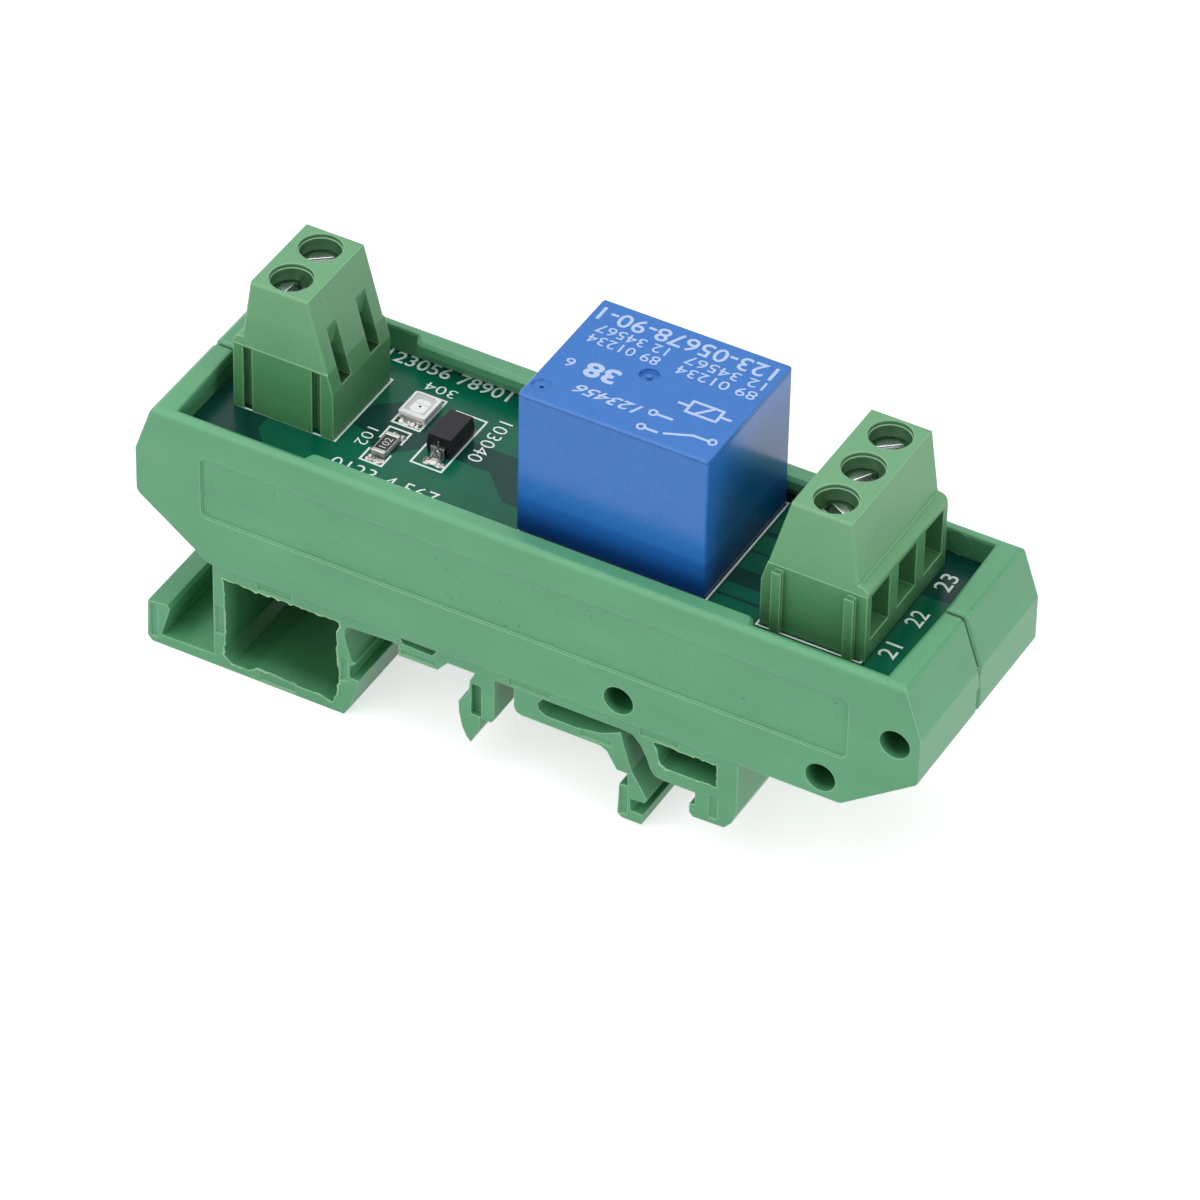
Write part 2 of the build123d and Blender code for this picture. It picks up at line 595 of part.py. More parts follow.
def terminal_cage(y):
    """The clamp cage that the screw lifts against the contact bar."""
    x0 = -SCREW_SETBACK - CAGE_LENGTH / 2
    x1 = x0 + CAGE_LENGTH
    cage = block(x0, x1, y - CAGE_WIDTH / 2, y + CAGE_WIDTH / 2, CAGE_LOW, CAGE_TOP)
    cage = chamfer(cage.edges().filter_by(Axis.X), CAGE_BEVEL)
    inner = CAGE_WIDTH / 2 - CAGE_WALL
    cage -= block(x0 - 1, x1 + 1, y - inner, y + inner, CAGE_LOW + CAGE_FLOOR, CAGE_WINDOW_HIGH)
    return cage - rod(-SCREW_SETBACK, y, CAGE_WINDOW_HIGH - 1, CAGE_TOP + 1, SHANK_DIAMETER + 2 * SHANK_PLAY)


def terminal_contact(y):
    """The fixed contact bar of a pole with its leg and solder pin."""
    front = -(SCREW_SETBACK - CAGE_LENGTH / 2)
    bar = block(BAR_LEG_X, front, y - BAR_WIDTH / 2, y + BAR_WIDTH / 2, BAR_LOW, BAR_LOW + BAR_THICK)
    leg = block(BAR_LEG_X, BAR_LEG_X + BAR_LEG, y - BAR_WIDTH / 2, y + BAR_WIDTH / 2,
                LIFT, BAR_LOW + BAR_THICK)
    pin_x = BAR_LEG_X + BAR_LEG / 2
    pin = block(pin_x - BAR_LEG / 2, pin_x + BAR_LEG / 2, y - PIN_WIDTH / 2, y + PIN_WIDTH / 2,
                -BOARD_THICK - PIN_BELOW, LIFT + 0.5)
    return bar + leg + pin


def pin_places():
    """Frame x, y and width of every pin that passes the board."""
    places = []
    leg = BAR_LEG_X + BAR_LEG / 2
    across = math.hypot(PIN_WIDTH, BAR_LEG)
    for y in input_poles():
        places.append((px(INPUT_X) - leg, y, across))
    for y in output_poles():
        places.append((px(OUTPUT_X + BLOCK_DEPTH) + leg, y, across))
    for x, y in relay_pins():
        places.append((px(RELAY_X + RELAY_LENGTH / 2) + x, RELAY_Y + y, RELAY_PIN_ACROSS))
    return places


RELAY_PIN_ACROSS = math.hypot(TAIL_WIDTH, TAIL_THICK)


def relay_pins():
    """Pin places of the relay from its middle: common, two coil pins and two contact pins."""
    return [
        (COMMON_X, 0), (COIL_PIN_X, -COIL_PIN_Y), (COIL_PIN_X, COIL_PIN_Y),
        (CONTACT_X, -CONTACT_Y), (CONTACT_X, CONTACT_Y),
    ]


# Relay, drawn from its middle and from the top of the board
HINGE_Z = RELAY_HEIGHT - HINGE_DROP
COIL_HIGH = HINGE_Z - COIL_DROP
ARMATURE_LOW = HINGE_Z
BLADE_LOW = ARMATURE_LOW + ARMATURE_THICK
MOVING_TOP = BLADE_LOW + BLADE_THICK + CONTACT_THICK
MOVING_LOW = BLADE_LOW - CONTACT_THICK
POLE_TOP = ARMATURE_LOW - AIR_GAP
RELAY_PLACE = Pos(px(RELAY_X + RELAY_LENGTH / 2), RELAY_Y, top(0))
PIN_END = -BOARD_THICK - PIN_BELOW


def relay_cover():
    """The dust cover: a five-sided box with a fine line under its top edge and two dimples."""
    hx = RELAY_LENGTH / 2
    hy = RELAY_WIDTH / 2
    cover = block(-hx, hx, -hy, hy, RELAY_LIFT, RELAY_HEIGHT)
    cover = fillet(cover.edges().filter_by(Axis.Z), RELAY_EDGE)
    cover = chamfer(cover.faces().sort_by(Axis.Z)[-1].edges(), RELAY_TOP_EDGE)
    line_z = RELAY_HEIGHT - RELAY_LINE_DROP
    ring = block(-hx - 1, hx + 1, -hy - 1, hy + 1, line_z - RELAY_LINE / 2, line_z + RELAY_LINE / 2)
    core = block(-hx + RELAY_LINE, hx - RELAY_LINE, -hy + RELAY_LINE, hy - RELAY_LINE, 0, RELAY_HEIGHT)
    cover -= ring - fillet(core.edges().filter_by(Axis.Z), RELAY_EDGE)
    cover -= block(-hx + RELAY_WALL, hx - RELAY_WALL, -hy + RELAY_WALL, hy - RELAY_WALL,
                   0, RELAY_HEIGHT - RELAY_TOP_WALL)
    dimple_x = -hx + DIMPLE_INSET_X
    dimple_y = -hy + DIMPLE_INSET_Y
    cover -= rod(dimple_x, dimple_y, RELAY_HEIGHT - DIMPLE_DEPTH / 2, RELAY_HEIGHT + 1, DIMPLE_DIAMETER)
    cover -= rod(dimple_x, dimple_y, RELAY_HEIGHT - DIMPLE_DEPTH / 2 - PIT_DEPTH, RELAY_HEIGHT, PIT_DIAMETER)
    cover -= rod(GATE_X, GATE_Y, RELAY_HEIGHT - DIMPLE_DEPTH, RELAY_HEIGHT + 1, DIMPLE_DIAMETER)
    stub_low = RELAY_HEIGHT - RELAY_TOP_WALL / 2
    return cover + rod(GATE_X, GATE_Y, stub_low, RELAY_HEIGHT - GATE_SUNK, GATE_DIAMETER)


def relay_base():
    """The base that closes the cover, with its pin slots and the walls that carry the works."""
    hx = RELAY_LENGTH / 2 - RELAY_WALL - RELAY_FIT
    hy = RELAY_WIDTH / 2 - RELAY_WALL - RELAY_FIT
    high = RELAY_LIFT + RELAY_BASE_THICK
    base = block(-hx, hx, -hy, hy, RELAY_LIFT, high)
    for sx in (-1, 1):
        for sy in (-1, 1):
            base += block(sx * (hx - 0.6) - 0.6, sx * (hx - 0.6) + 0.6, sy * (hy - 0.6) - 0.6,
                          sy * (hy - 0.6) + 0.6, 0, RELAY_LIFT + 0.1)
    for x, y in relay_pins():
        base -= block(x - 0.35, x + 0.35, y - 0.6, y + 0.6, -1, high + 1)
    return base


def coil_bobbin():
    """The coil former: a barrel between two square flanges, open for the core."""
    half = COIL_FLANGE / 2
    low = COIL_LOW - COIL_FLANGE_THICK
    former = rod(COIL_X, 0, low, COIL_HIGH, COIL_BARREL)
    former += block(COIL_X - half, COIL_X + half, -half, half, low, COIL_LOW)
    former += block(COIL_X - half, COIL_X + half, -half, half, COIL_HIGH - COIL_FLANGE_THICK, COIL_HIGH)
    lug = COIL_PIN / 2 + LUG_WALL
    for side in (-1, 1):
        y0 = side * (half - 0.1)
        y1 = side * (COIL_PIN_Y + lug)
        former += block(COIL_PIN_X - lug, COIL_PIN_X + lug, min(y0, y1), max(y0, y1), low, COIL_LOW)
        hole = COIL_PIN / 2 + RELAY_FIT
        pin_y = side * COIL_PIN_Y
        former -= block(COIL_PIN_X - hole, COIL_PIN_X + hole, pin_y - hole, pin_y + hole,
                        low - 1, COIL_LOW + 1)
    return former - rod(COIL_X, 0, 0, COIL_HIGH + 1, CORE_DIAMETER + 2 * RELAY_FIT)


def coil_winding():
    """The copper winding as one ring round the former's barrel."""
    ring = rod(COIL_X, 0, COIL_LOW, COIL_HIGH - COIL_FLANGE_THICK, WINDING_DIAMETER)
    return ring - rod(COIL_X, 0, 0, COIL_HIGH, COIL_BARREL)


def coil_core():
    """The iron core with its pole head under the armature."""
    low = RELAY_LIFT + RELAY_BASE_THICK
    core = rod(COIL_X, 0, low, POLE_TOP, CORE_DIAMETER)
    return core + rod(COIL_X, 0, POLE_TOP - POLE_THICK, POLE_TOP, POLE_DIAMETER)


def relay_yoke():
    """The L-shaped iron yoke: a foot under the coil and an upright that ends at the armature's hinge."""
    low = RELAY_LIFT + RELAY_BASE_THICK
    foot_top = COIL_LOW - COIL_FLANGE_THICK
    upright = block(YOKE_X, YOKE_X + YOKE_THICK, -YOKE_WIDTH / 2, YOKE_WIDTH / 2, low, HINGE_Z - YOKE_GAP)
    foot = block(YOKE_X, COIL_X + CORE_DIAMETER, -YOKE_WIDTH / 2, YOKE_WIDTH / 2, low, foot_top)
    tail = block(COMMON_X - TAIL_THICK / 2, COMMON_X + TAIL_THICK / 2, -TAIL_WIDTH / 2, TAIL_WIDTH / 2,
                 PIN_END, low + 0.5)
    return upright + foot + tail - rod(COIL_X, 0, 0, COIL_LOW, CORE_DIAMETER + 2 * RELAY_FIT)


def armature():
    """The iron plate that swings down to the pole."""
    plate = block(YOKE_X, ARMATURE_END_X, -YOKE_WIDTH / 2, YOKE_WIDTH / 2, ARMATURE_LOW, BLADE_LOW)
    return chamfer(plate.edges().filter_by(Axis.Z), 0.8)


def moving_contact():
    """The spring blade on the armature with its double-faced contact rivet."""
    reach = CONTACT_X + CONTACT_DIAMETER / 2
    blade = block(YOKE_X + 1.5, reach, -BLADE_WIDTH / 2, BLADE_WIDTH / 2, BLADE_LOW, BLADE_LOW + BLADE_THICK)
    blade = chamfer(blade.edges().filter_by(Axis.Z), BLADE_CORNER)
    for x in (RIVET_X, RIVET_X + RIVET_STEP):
        blade += rod(x, 0, BLADE_LOW, BLADE_LOW + BLADE_THICK + RIVET_HIGH, RIVET_DIAMETER)
    blade += rod(CONTACT_X, 0, BLADE_LOW + BLADE_THICK - 0.05, MOVING_TOP, CONTACT_DIAMETER)
    return blade + rod(CONTACT_X, 0, MOVING_LOW, BLADE_LOW + 0.05, CONTACT_DIAMETER)


def fixed_contact(side, upper):
    """A fixed contact: a pin in the base, an upright strip beside the blade and an arm over or under it."""
    low = RELAY_LIFT + RELAY_BASE_THICK
    if upper:
        face = MOVING_TOP + REST_GAP
        arm_low = face + 0.25
        arm_high = arm_low + BRACKET_THICK
        button = rod(CONTACT_X, 0, face, arm_low + 0.05, CONTACT_DIAMETER)
    else:
        face = MOVING_LOW - CONTACT_GAP
        arm_high = face - 0.25
        arm_low = arm_high - BRACKET_THICK
        button = rod(CONTACT_X, 0, arm_high - 0.05, face, CONTACT_DIAMETER)
    y_out = side * (CONTACT_Y + BRACKET_THICK / 2)
    y_in = side * (CONTACT_Y - BRACKET_THICK / 2)
    y_tip = -side * BRACKET_WIDTH / 2
    x0 = CONTACT_X - BRACKET_WIDTH / 2
    x1 = CONTACT_X + min(BRACKET_WIDTH / 2, RELAY_LENGTH / 2 - RELAY_WALL - CONTACT_X - 0.2)
    upright = block(x0, x1, min(y_in, y_out), max(y_in, y_out), low, arm_high)
    arm = block(x0, x1, min(y_tip, y_out), max(y_tip, y_out), arm_low, arm_high)
    pin = block(CONTACT_X - TAIL_THICK / 2, CONTACT_X + TAIL_THICK / 2, min(y_in, y_out), max(y_in, y_out),
                PIN_END, low + 0.1)
    return upright + arm + pin + button


def coil_pins():
    """The two pins that feed the winding."""
    half = COIL_PIN / 2
    pins = [block(COIL_PIN_X - half, COIL_PIN_X + half, y - half, y + half, PIN_END, COIL_LOW + 1.2)
            for y in (-COIL_PIN_Y, COIL_PIN_Y)]
    return Compound(children=pins)


def smd_place(x, y):
    """The location of a surface-mounted part."""
    return Pos(px(x), y, top(0))


def led_window(margin, low, high):
    """The indicator's window with its cut corner, drawn smaller by a margin."""
    wx = LED_WINDOW_X / 2 - margin
    y0 = LED_WINDOW_SHIFT - LED_WINDOW_Y / 2 + margin
    y1 = LED_WINDOW_SHIFT + LED_WINDOW_Y / 2 - margin
    outline = [(-wx, y0), (wx, y0), (wx, y1 - LED_WINDOW_CUT), (wx - LED_WINDOW_CUT, y1), (-wx, y1)]
    return extrude(Pos(0, 0, low) * make_face(Polyline(*outline, close=True)), amount=high - low)


def led_body():
    """The flat white moulding of the indicator with its window."""
    body = block(-LED_SIZE_X / 2, LED_SIZE_X / 2, -LED_SIZE_Y / 2, LED_SIZE_Y / 2, LIFT, LED_HEIGHT)
    body = chamfer(body.edges().filter_by(Axis.Z), LED_CORNER)
    body = chamfer(body.faces().sort_by(Axis.Z)[-1].edges(), LED_EDGE)
    body -= led_window(0, LED_HEIGHT - LED_WINDOW_DEPTH, LED_HEIGHT + 1)
    half = LED_LEAD / 2 + LED_LENS_PLAY
    for side in (-1, 1):
        y0 = side * (LED_SIZE_Y / 2 - LED_LEAD_THICK - LED_LENS_PLAY)
        y1 = side * (LED_SIZE_Y / 2 + 1)
        body -= block(-half, half, min(y0, y1), max(y0, y1), 0, LED_LEAD_HIGH + LED_LENS_PLAY)
    return body


def led_lens():
    """The clear filling of the window."""
    return led_window(LED_LENS_PLAY, LED_HEIGHT - LED_WINDOW_DEPTH, LED_HEIGHT - LED_LENS_SUNK)


def led_leads():
    """The two folded tin leads at the ends of the indicator."""
    leads = []
    for side in (-1, 1):
        face = side * LED_SIZE_Y / 2
        inner = face - side * LED_LEAD_THICK
        foot_end = face + side * LED_LEAD_FOOT
        upright = block(-LED_LEAD / 2, LED_LEAD / 2, min(face, inner), max(face, inner), 0, LED_LEAD_HIGH)
        foot = block(-LED_LEAD / 2, LED_LEAD / 2, min(inner, foot_end), max(inner, foot_end),
                     0, LED_LEAD_THICK)
        leads.append(upright + foot)
    return Compound(children=leads)


def resistor_body():
    """The ceramic chip between the end caps."""
    half = RESISTOR_LENGTH / 2 - CAP_LENGTH
    w = RESISTOR_WIDTH / 2
    return block(-w, w, -half, half, LIFT, LIFT + RESISTOR_HEIGHT - 0.08)


def resistor_caps():
    """The tinned end caps of the chip."""
    w = RESISTOR_WIDTH / 2
    caps = []
    for side in (-1, 1):
        y0 = side * (RESISTOR_LENGTH / 2 - CAP_LENGTH)
        y1 = side * RESISTOR_LENGTH / 2
        cap = block(-w, w, min(y0, y1), max(y0, y1), 0, LIFT + RESISTOR_HEIGHT)
        caps.append(chamfer(cap.edges().filter_by(Axis.X), LIFT))
    return Compound(children=caps)


def diode_body():
    """The moulded diode body, which narrows above and below its leads."""
    split = DIODE_HEIGHT * 0.5
    rise = DIODE_HEIGHT - split
    upper = extrude(Pos(0, 0, split) * Rectangle(DIODE_WIDTH, DIODE_LENGTH), amount=rise,
                    taper=math.degrees(math.atan(DIODE_TAPER / rise)))
    lower = extrude(Pos(0, 0, split) * Rectangle(DIODE_WIDTH, DIODE_LENGTH), amount=-(split - 0.1),
                    taper=math.degrees(math.atan(DIODE_TAPER * 0.6 / split)))
    body = upper + lower
    for side in (-1, 1):
        y = side * DIODE_LENGTH / 2
        body -= block(-DIODE_LEAD_WIDTH / 2 - 0.02, DIODE_LEAD_WIDTH / 2 + 0.02, min(y, y - side * 0.3),
                      max(y, y - side * 0.3), split - DIODE_LEAD_THICK / 2 - 0.02,
                      split + DIODE_LEAD_THICK / 2 + 0.02)
    return body


def diode_leads():
    """The two leads, which leave the body at mid height and fold down to the board."""
    split = DIODE_HEIGHT * 0.5
    leads = []
    half = DIODE_LEAD_THICK / 2
    for side in (-1, 1):
        y = side * DIODE_LENGTH / 2
        root = y - side * 0.28
        shoulder = y + side * 0.3
        out = y + side * DIODE_LEAD_REACH
        w = DIODE_LEAD_WIDTH / 2
        tongue = block(-w, w, min(root, shoulder), max(root, shoulder), split - half, split + half)
        fall_in = shoulder - side * DIODE_LEAD_THICK
        fall = block(-w, w, min(fall_in, shoulder), max(fall_in, shoulder), 0, split + half)
        foot = block(-w, w, min(fall_in, out), max(fall_in, out), 0, DIODE_LEAD_THICK)
        leads.append(tongue + fall + foot)
    return Compound(children=leads)


def solder_frustum(foot, tip):
    """A four-sided frustum that hangs below the origin."""
    inset = (foot - tip) / 2
    return Pos(0, 0, -SOLDER_TALL / 2) * Rot(-90, 0, 0) * Wedge(
        foot, SOLDER_TALL, foot, inset, inset, foot - inset, foot - inset)


def solder_cones():
    """The solder cones round the pins under the board, drawn with eight sides."""
    half = PIN_WIDTH / 2 + SOLDER_FIT
    cones = []
    for x, y, width in pin_places():
        frustum = solder_frustum(width + 2 * SOLDER_FOOT, width + 2 * SOLDER_TIP)
        cone = frustum & Rot(0, 0, 45) * frustum
        cone -= block(-half, half, -half, half, -SOLDER_TALL - 1, 1)
        cones.append(Pos(x, y, pz(BOARD_UNDER)) * cone)
    return Compound(children=cones)


def write(node, shape):
    """Write one piece to its own file."""
    solids = shape.solids()
    shape = Compound(children=list(solids)) if len(solids) > 1 else solids[0]
    shape.label = node
    export_step(shape, f"parts/{node}.step")


def main():
    """Build every piece and write it."""
    os.makedirs("parts", exist_ok=True)
    write("carrier_near", carrier_half(SOCKETS, PEGS))
    far = carrier_half(PEGS, SOCKETS)
    write("carrier_far", mirror(far, about=Plane.XZ))
    write("circuit_board", board())

    input_place = block_place(INPUT_X, INPUT_Y, True)
    output_place = block_place(OUTPUT_X + BLOCK_DEPTH, OUTPUT_Y, False)
    for name, place, poles, angles in (("input", input_place, 2, INPUT_SLOT_ANGLES),
                                       ("output", output_place, 3, OUTPUT_SLOT_ANGLES)):
        write(f"{name}_terminal_housing", place * terminal_housing(poles))
        for i, angle in enumerate(angles):
            y = (i - (poles - 1) / 2) * PITCH
            write(f"{name}_screw_{i + 1}", place * terminal_screw(y, angle))
            write(f"{name}_clamp_cage_{i + 1}", place * terminal_cage(y))
            write(f"{name}_contact_bar_{i + 1}", place * terminal_contact(y))

    write("relay_cover", RELAY_PLACE * relay_cover())
    write("relay_base", RELAY_PLACE * relay_base())
    write("relay_coil_bobbin", RELAY_PLACE * coil_bobbin())
    write("relay_coil_winding", RELAY_PLACE * coil_winding())
    write("relay_core", RELAY_PLACE * coil_core())
    write("relay_yoke", RELAY_PLACE * relay_yoke())
    write("relay_armature", RELAY_PLACE * armature())
    write("relay_moving_contact", RELAY_PLACE * moving_contact())
    write("relay_upper_contact", RELAY_PLACE * fixed_contact(1, True))
    write("relay_lower_contact", RELAY_PLACE * fixed_contact(-1, False))
    write("relay_coil_pins", RELAY_PLACE * coil_pins())

    led = smd_place(LED_X, LED_Y)
    write("indicator_body", led * led_body())
    write("indicator_lens", led * led_lens())
    write("indicator_leads", led * led_leads())
    chip = smd_place(RESISTOR_X, RESISTOR_Y)
    write("resistor_body", chip * resistor_body())
    write("resistor_end_caps", chip * resistor_caps())
    diode = smd_place(DIODE_X, DIODE_Y)
    write("diode_body", diode * diode_body())
    write("diode_leads", diode * diode_leads())
    write("solder_cones", solder_cones())


if __name__ == "__main__":
    main()
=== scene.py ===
"""Looks of a relay module: a circuit board with terminal blocks and a relay on a rail-mounting carrier.

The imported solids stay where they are. This script gives each of them a finish and adds what is printed,
soldered or too fine for the solids. All sizes are in metres.
"""
import logging
import math
from abc import ABC, abstractmethod
from collections.abc import Sequence
from dataclasses import dataclass
from enum import Enum
from functools import cached_property
from typing import Protocol

import bmesh
import bpy
from mathutils import Matrix, Vector, noise


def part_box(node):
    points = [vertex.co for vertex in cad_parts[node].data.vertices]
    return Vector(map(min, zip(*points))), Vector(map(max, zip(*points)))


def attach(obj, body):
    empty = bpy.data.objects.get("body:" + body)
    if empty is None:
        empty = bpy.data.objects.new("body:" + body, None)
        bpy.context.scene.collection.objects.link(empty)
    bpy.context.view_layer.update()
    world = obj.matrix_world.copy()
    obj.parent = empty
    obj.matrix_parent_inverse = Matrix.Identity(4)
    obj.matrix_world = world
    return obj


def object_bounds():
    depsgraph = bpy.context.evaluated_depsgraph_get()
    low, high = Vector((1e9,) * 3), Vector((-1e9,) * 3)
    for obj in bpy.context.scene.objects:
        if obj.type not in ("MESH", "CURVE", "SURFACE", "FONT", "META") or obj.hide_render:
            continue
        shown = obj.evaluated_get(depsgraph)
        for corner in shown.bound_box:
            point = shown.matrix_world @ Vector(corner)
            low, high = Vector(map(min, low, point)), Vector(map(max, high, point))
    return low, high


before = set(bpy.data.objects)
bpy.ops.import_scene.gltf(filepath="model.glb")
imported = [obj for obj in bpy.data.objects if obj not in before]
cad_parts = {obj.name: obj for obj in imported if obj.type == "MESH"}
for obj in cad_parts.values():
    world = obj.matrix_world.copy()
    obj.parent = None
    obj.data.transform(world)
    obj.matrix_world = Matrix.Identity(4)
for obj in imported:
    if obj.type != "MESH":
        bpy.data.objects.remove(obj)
CAD_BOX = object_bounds()

MM = 0.001
SOFT_EDGE = 0.02 * MM
"""The width over which a mask changes at the edge of a small opening."""
RIM_RISE = 15.7 * MM
"""The carrier's rim above its side plate's lower edge, from which the carrier's drawing counts upwards."""
WAVE_PERIOD = 0.314
"""The distance between two bands of Blender's wave texture at scale 1."""
LOG = logging.getLogger("relay_module")
Colour = tuple[float, float, float]
Point = tuple[float, float]


def srgb(red: float, green: float, blue: float) -> Colour:
    """Turn a colour read from a screen, 0 to 255, into the linear one that shaders use."""
    shares = (red / 255, green / 255, blue / 255)
    return tuple(c / 12.92 if c <= 0.04045 else ((c + 0.055) / 1.055) ** 2.4 for c in shares)


class Slot(Enum):
    """Material slots of the record; nothing here uses them, and new pieces take their finish from Finishes.
    """

    CARRIER = "carrier_plastic"
    LAMINATE = "board_laminate"
    INK = "white_plastic"
    DARK = "dark_plastic"
    TIN = "tinned_metal"


class Wire:
    """A shader socket that can stand in a sum, so that shader maths reads as Python."""

    def __init__(self, recipe: "Recipe", socket: bpy.types.NodeSocket) -> None:
        """Hold an output socket of a recipe."""
        self.recipe = recipe
        self.socket = socket

    def _math(self, operation: str, first: "Wire | float", second: "Wire | float" = 0.0) -> "Wire":
        """Add one Math node and give its result."""
        return self.recipe.node("ShaderNodeMath", {"operation": operation}, {0: first, 1: second})[0]

    def __add__(self, other: "Wire | float") -> "Wire":
        """Sum."""
        return self._math("ADD", self, other)

    def __sub__(self, other: "Wire | float") -> "Wire":
        """Difference."""
        return self._math("SUBTRACT", self, other)

    def __rsub__(self, other: float) -> "Wire":
        """Difference with the number first."""
        return self._math("SUBTRACT", other, self)

    def __mul__(self, other: "Wire | float") -> "Wire":
        """Product."""
        return self._math("MULTIPLY", self, other)

    __radd__ = __add__
    __rmul__ = __mul__

    def __abs__(self) -> "Wire":
        """Size without its sign."""
        return self._math("ABSOLUTE", self)

    def most(self, other: "Wire | float") -> "Wire":
        """The larger of two values."""
        return self._math("MAXIMUM", self, other)

    def above(self, low: float, high: float) -> "Wire":
        """Rise smoothly from 0 where the value is low to 1 where it is high."""
        settings = {"interpolation_type": "SMOOTHSTEP"}
        return self.recipe.node("ShaderNodeMapRange", settings, {0: self, 1: low, 2: high})[0]


class Node:
    """A node whose outputs are read as wires, by name or number."""

    def __init__(self, recipe: "Recipe", node: bpy.types.Node) -> None:
        """Hold a node of a recipe."""
        self.recipe = recipe
        self.node = node

    def __getitem__(self, key: str | int) -> Wire:
        """Give an output as a wire."""
        return Wire(self.recipe, self.node.outputs[key])


class Recipe:
    """A material, or the world, while its nodes are put together."""

    def __init__(self, owner: bpy.types.Material | bpy.types.World) -> None:
        """Clear the owner's nodes.

        Args:
            owner: The material or world that the nodes belong to.
        """
        owner.use_nodes = True
        self.owner = owner
        self.tree = owner.node_tree
        self.tree.nodes.clear()

    @classmethod
    def named(cls, name: str) -> "Recipe":
        """Start a new material."""
        return cls(bpy.data.materials.new(name))

    def node(self, kind: str, settings: dict | None = None, sockets: dict | None = None) -> Node:
        """Make any node.

        Args:
            kind: The node's type.
            settings: What is set on the node itself.
            sockets: Values or wires of its inputs, by name or number.

        Returns:
            The node.
        """
        made = self.tree.nodes.new(kind)
        for key, value in (settings or {}).items():
            setattr(made, key, value)
        for key, value in (sockets or {}).items():
            if isinstance(value, Wire):
                self.tree.links.new(value.socket, made.inputs[key])
            else:
                made.inputs[key].default_value = value
        return Node(self, made)

    def blend(self, factor: Wire | float, first: Colour | Wire, second: Colour | Wire,
              how: str = "MIX") -> Wire:
        """Mix two colours.

        Args:
            factor: The share of the second colour.
            first: The first colour.
            second: The second colour.
            how: The mix node's blend type.

        Returns:
            The mixed colour.
        """
        settings = {"data_type": "RGBA", "blend_type": how}
        sides = [side if isinstance(side, Wire) else (*side, 1.0) for side in (first, second)]
        return self.node("ShaderNodeMix", settings, {0: factor, 6: sides[0], 7: sides[1]})[2]

    def place(self, centre: Sequence[float] = (0, 0, 0), scale: Sequence[float] = (1, 1, 1)) -> Wire:
        """Object coordinates, moved and stretched.

        Args:
            centre: The point that becomes the pattern's origin.
            scale: The stretch along each axis.

        Returns:
            The coordinates.
        """
        coordinates = self.node("ShaderNodeTexCoord")["Object"]
        moved = self.node("ShaderNodeVectorMath", {"operation": "SUBTRACT"}, {0: coordinates, 1: centre})[0]
        return self.node("ShaderNodeMapping", {}, {0: moved, 3: scale})[0]

    def along(self, axis: str) -> Wire:
        """One of the object coordinates: X, Y or Z."""
        coordinates = self.node("ShaderNodeTexCoord")["Object"]
        return self.node("ShaderNodeSeparateXYZ", {}, {0: coordinates})[axis]

    def cloud(self, place: Wire, size: float, detail: float = 2.0) -> Wire:
        """Soft noise from 0 to 1, in blotches of a size in metres, with a number of finer layers."""
        return self.node("ShaderNodeTexNoise", {}, {"Vector": place, "Scale": 1 / size, "Detail": detail})[0]

    def wave(self, kind: str, direction: str, place: Wire, pitch: float, waver: float = 0.0) -> Wire:
        """Even waves from 0 to 1.

        Args:
            kind: BANDS or RINGS.
            direction: The axis that the bands follow each other along, or that the rings go round.
            place: The coordinates.
            pitch: The distance from wave to wave, in metres.
            waver: How far they bend.

        Returns:
            The waves.
        """
        settings = {"wave_type": kind, f"{kind.lower()}_direction": direction}
        sockets = {"Vector": place, "Scale": WAVE_PERIOD / pitch, "Distortion": waver}
        return self.node("ShaderNodeTexWave", settings, sockets)["Fac"]

    def span(self, axis: str, start: float, end: float, soft: float = SOFT_EDGE) -> Wire:
        """1 between two places along an axis and 0 beyond them, with a soft change outside them."""
        place = self.along(axis)
        return place.above(start - soft, start) * (1 - place.above(end, end + soft))

    def rounded(self, radius: float) -> Wire:
        """The normal of a surface whose sharp edges are rounded by a radius."""
        return self.node("ShaderNodeBevel", {"samples": 8}, {"Radius": radius})[0]

    def edge(self, normal: Wire, gain: float = 4.0) -> Wire:
        """Find the edges.

        Args:
            normal: A rounded normal.
            gain: How fast the result grows as that normal turns away from the flat one.

        Returns:
            0 on a face and near 1 at an edge.
        """
        flat = self.node("ShaderNodeNewGeometry")["True Normal"]
        along = self.node("ShaderNodeVectorMath", {"operation": "DOT_PRODUCT"}, {0: normal, 1: flat})["Value"]
        return (1 - along) * gain

    def bump(self, height: Wire, depth: float, normal: Wire | None = None) -> Wire:
        """Turn a height from 0 to 1 into a normal.

        Args:
            height: The height.
            depth: The height's size in metres.
            normal: The normal that it is added to.

        Returns:
            The bumped normal.
        """
        sockets = {"Strength": 1.0, "Distance": depth, "Height": height}
        if normal is not None:
            sockets["Normal"] = normal
        return self.node("ShaderNodeBump", {}, sockets)[0]

    def surface(self, sockets: dict) -> bpy.types.Material:
        """Close the recipe with a Principled shader.

        Args:
            sockets: Values or wires of the shader's inputs.

        Returns:
            The material.
        """
        shader = self.node("ShaderNodeBsdfPrincipled", {}, sockets)
        self.node("ShaderNodeOutputMaterial", {}, {"Surface": shader[0]})
        return self.owner


class PaintedShade(Protocol):
    """Painted shade: where a moulding lies among others and less light comes, and the colour painted there.
    """

    tone: Colour

    def mask(self, recipe: Recipe) -> Wire:
        """Build a mask that is 0 deep down and 1 in the open."""


@dataclass(frozen=True)
class Low:
    """Painted shade below a height."""

    low: float
    high: float
    tone: Colour

    def mask(self, recipe: Recipe) -> Wire:
        """Rise from 0 to 1 between the two heights."""
        return recipe.along("Z").above(self.low, self.high)


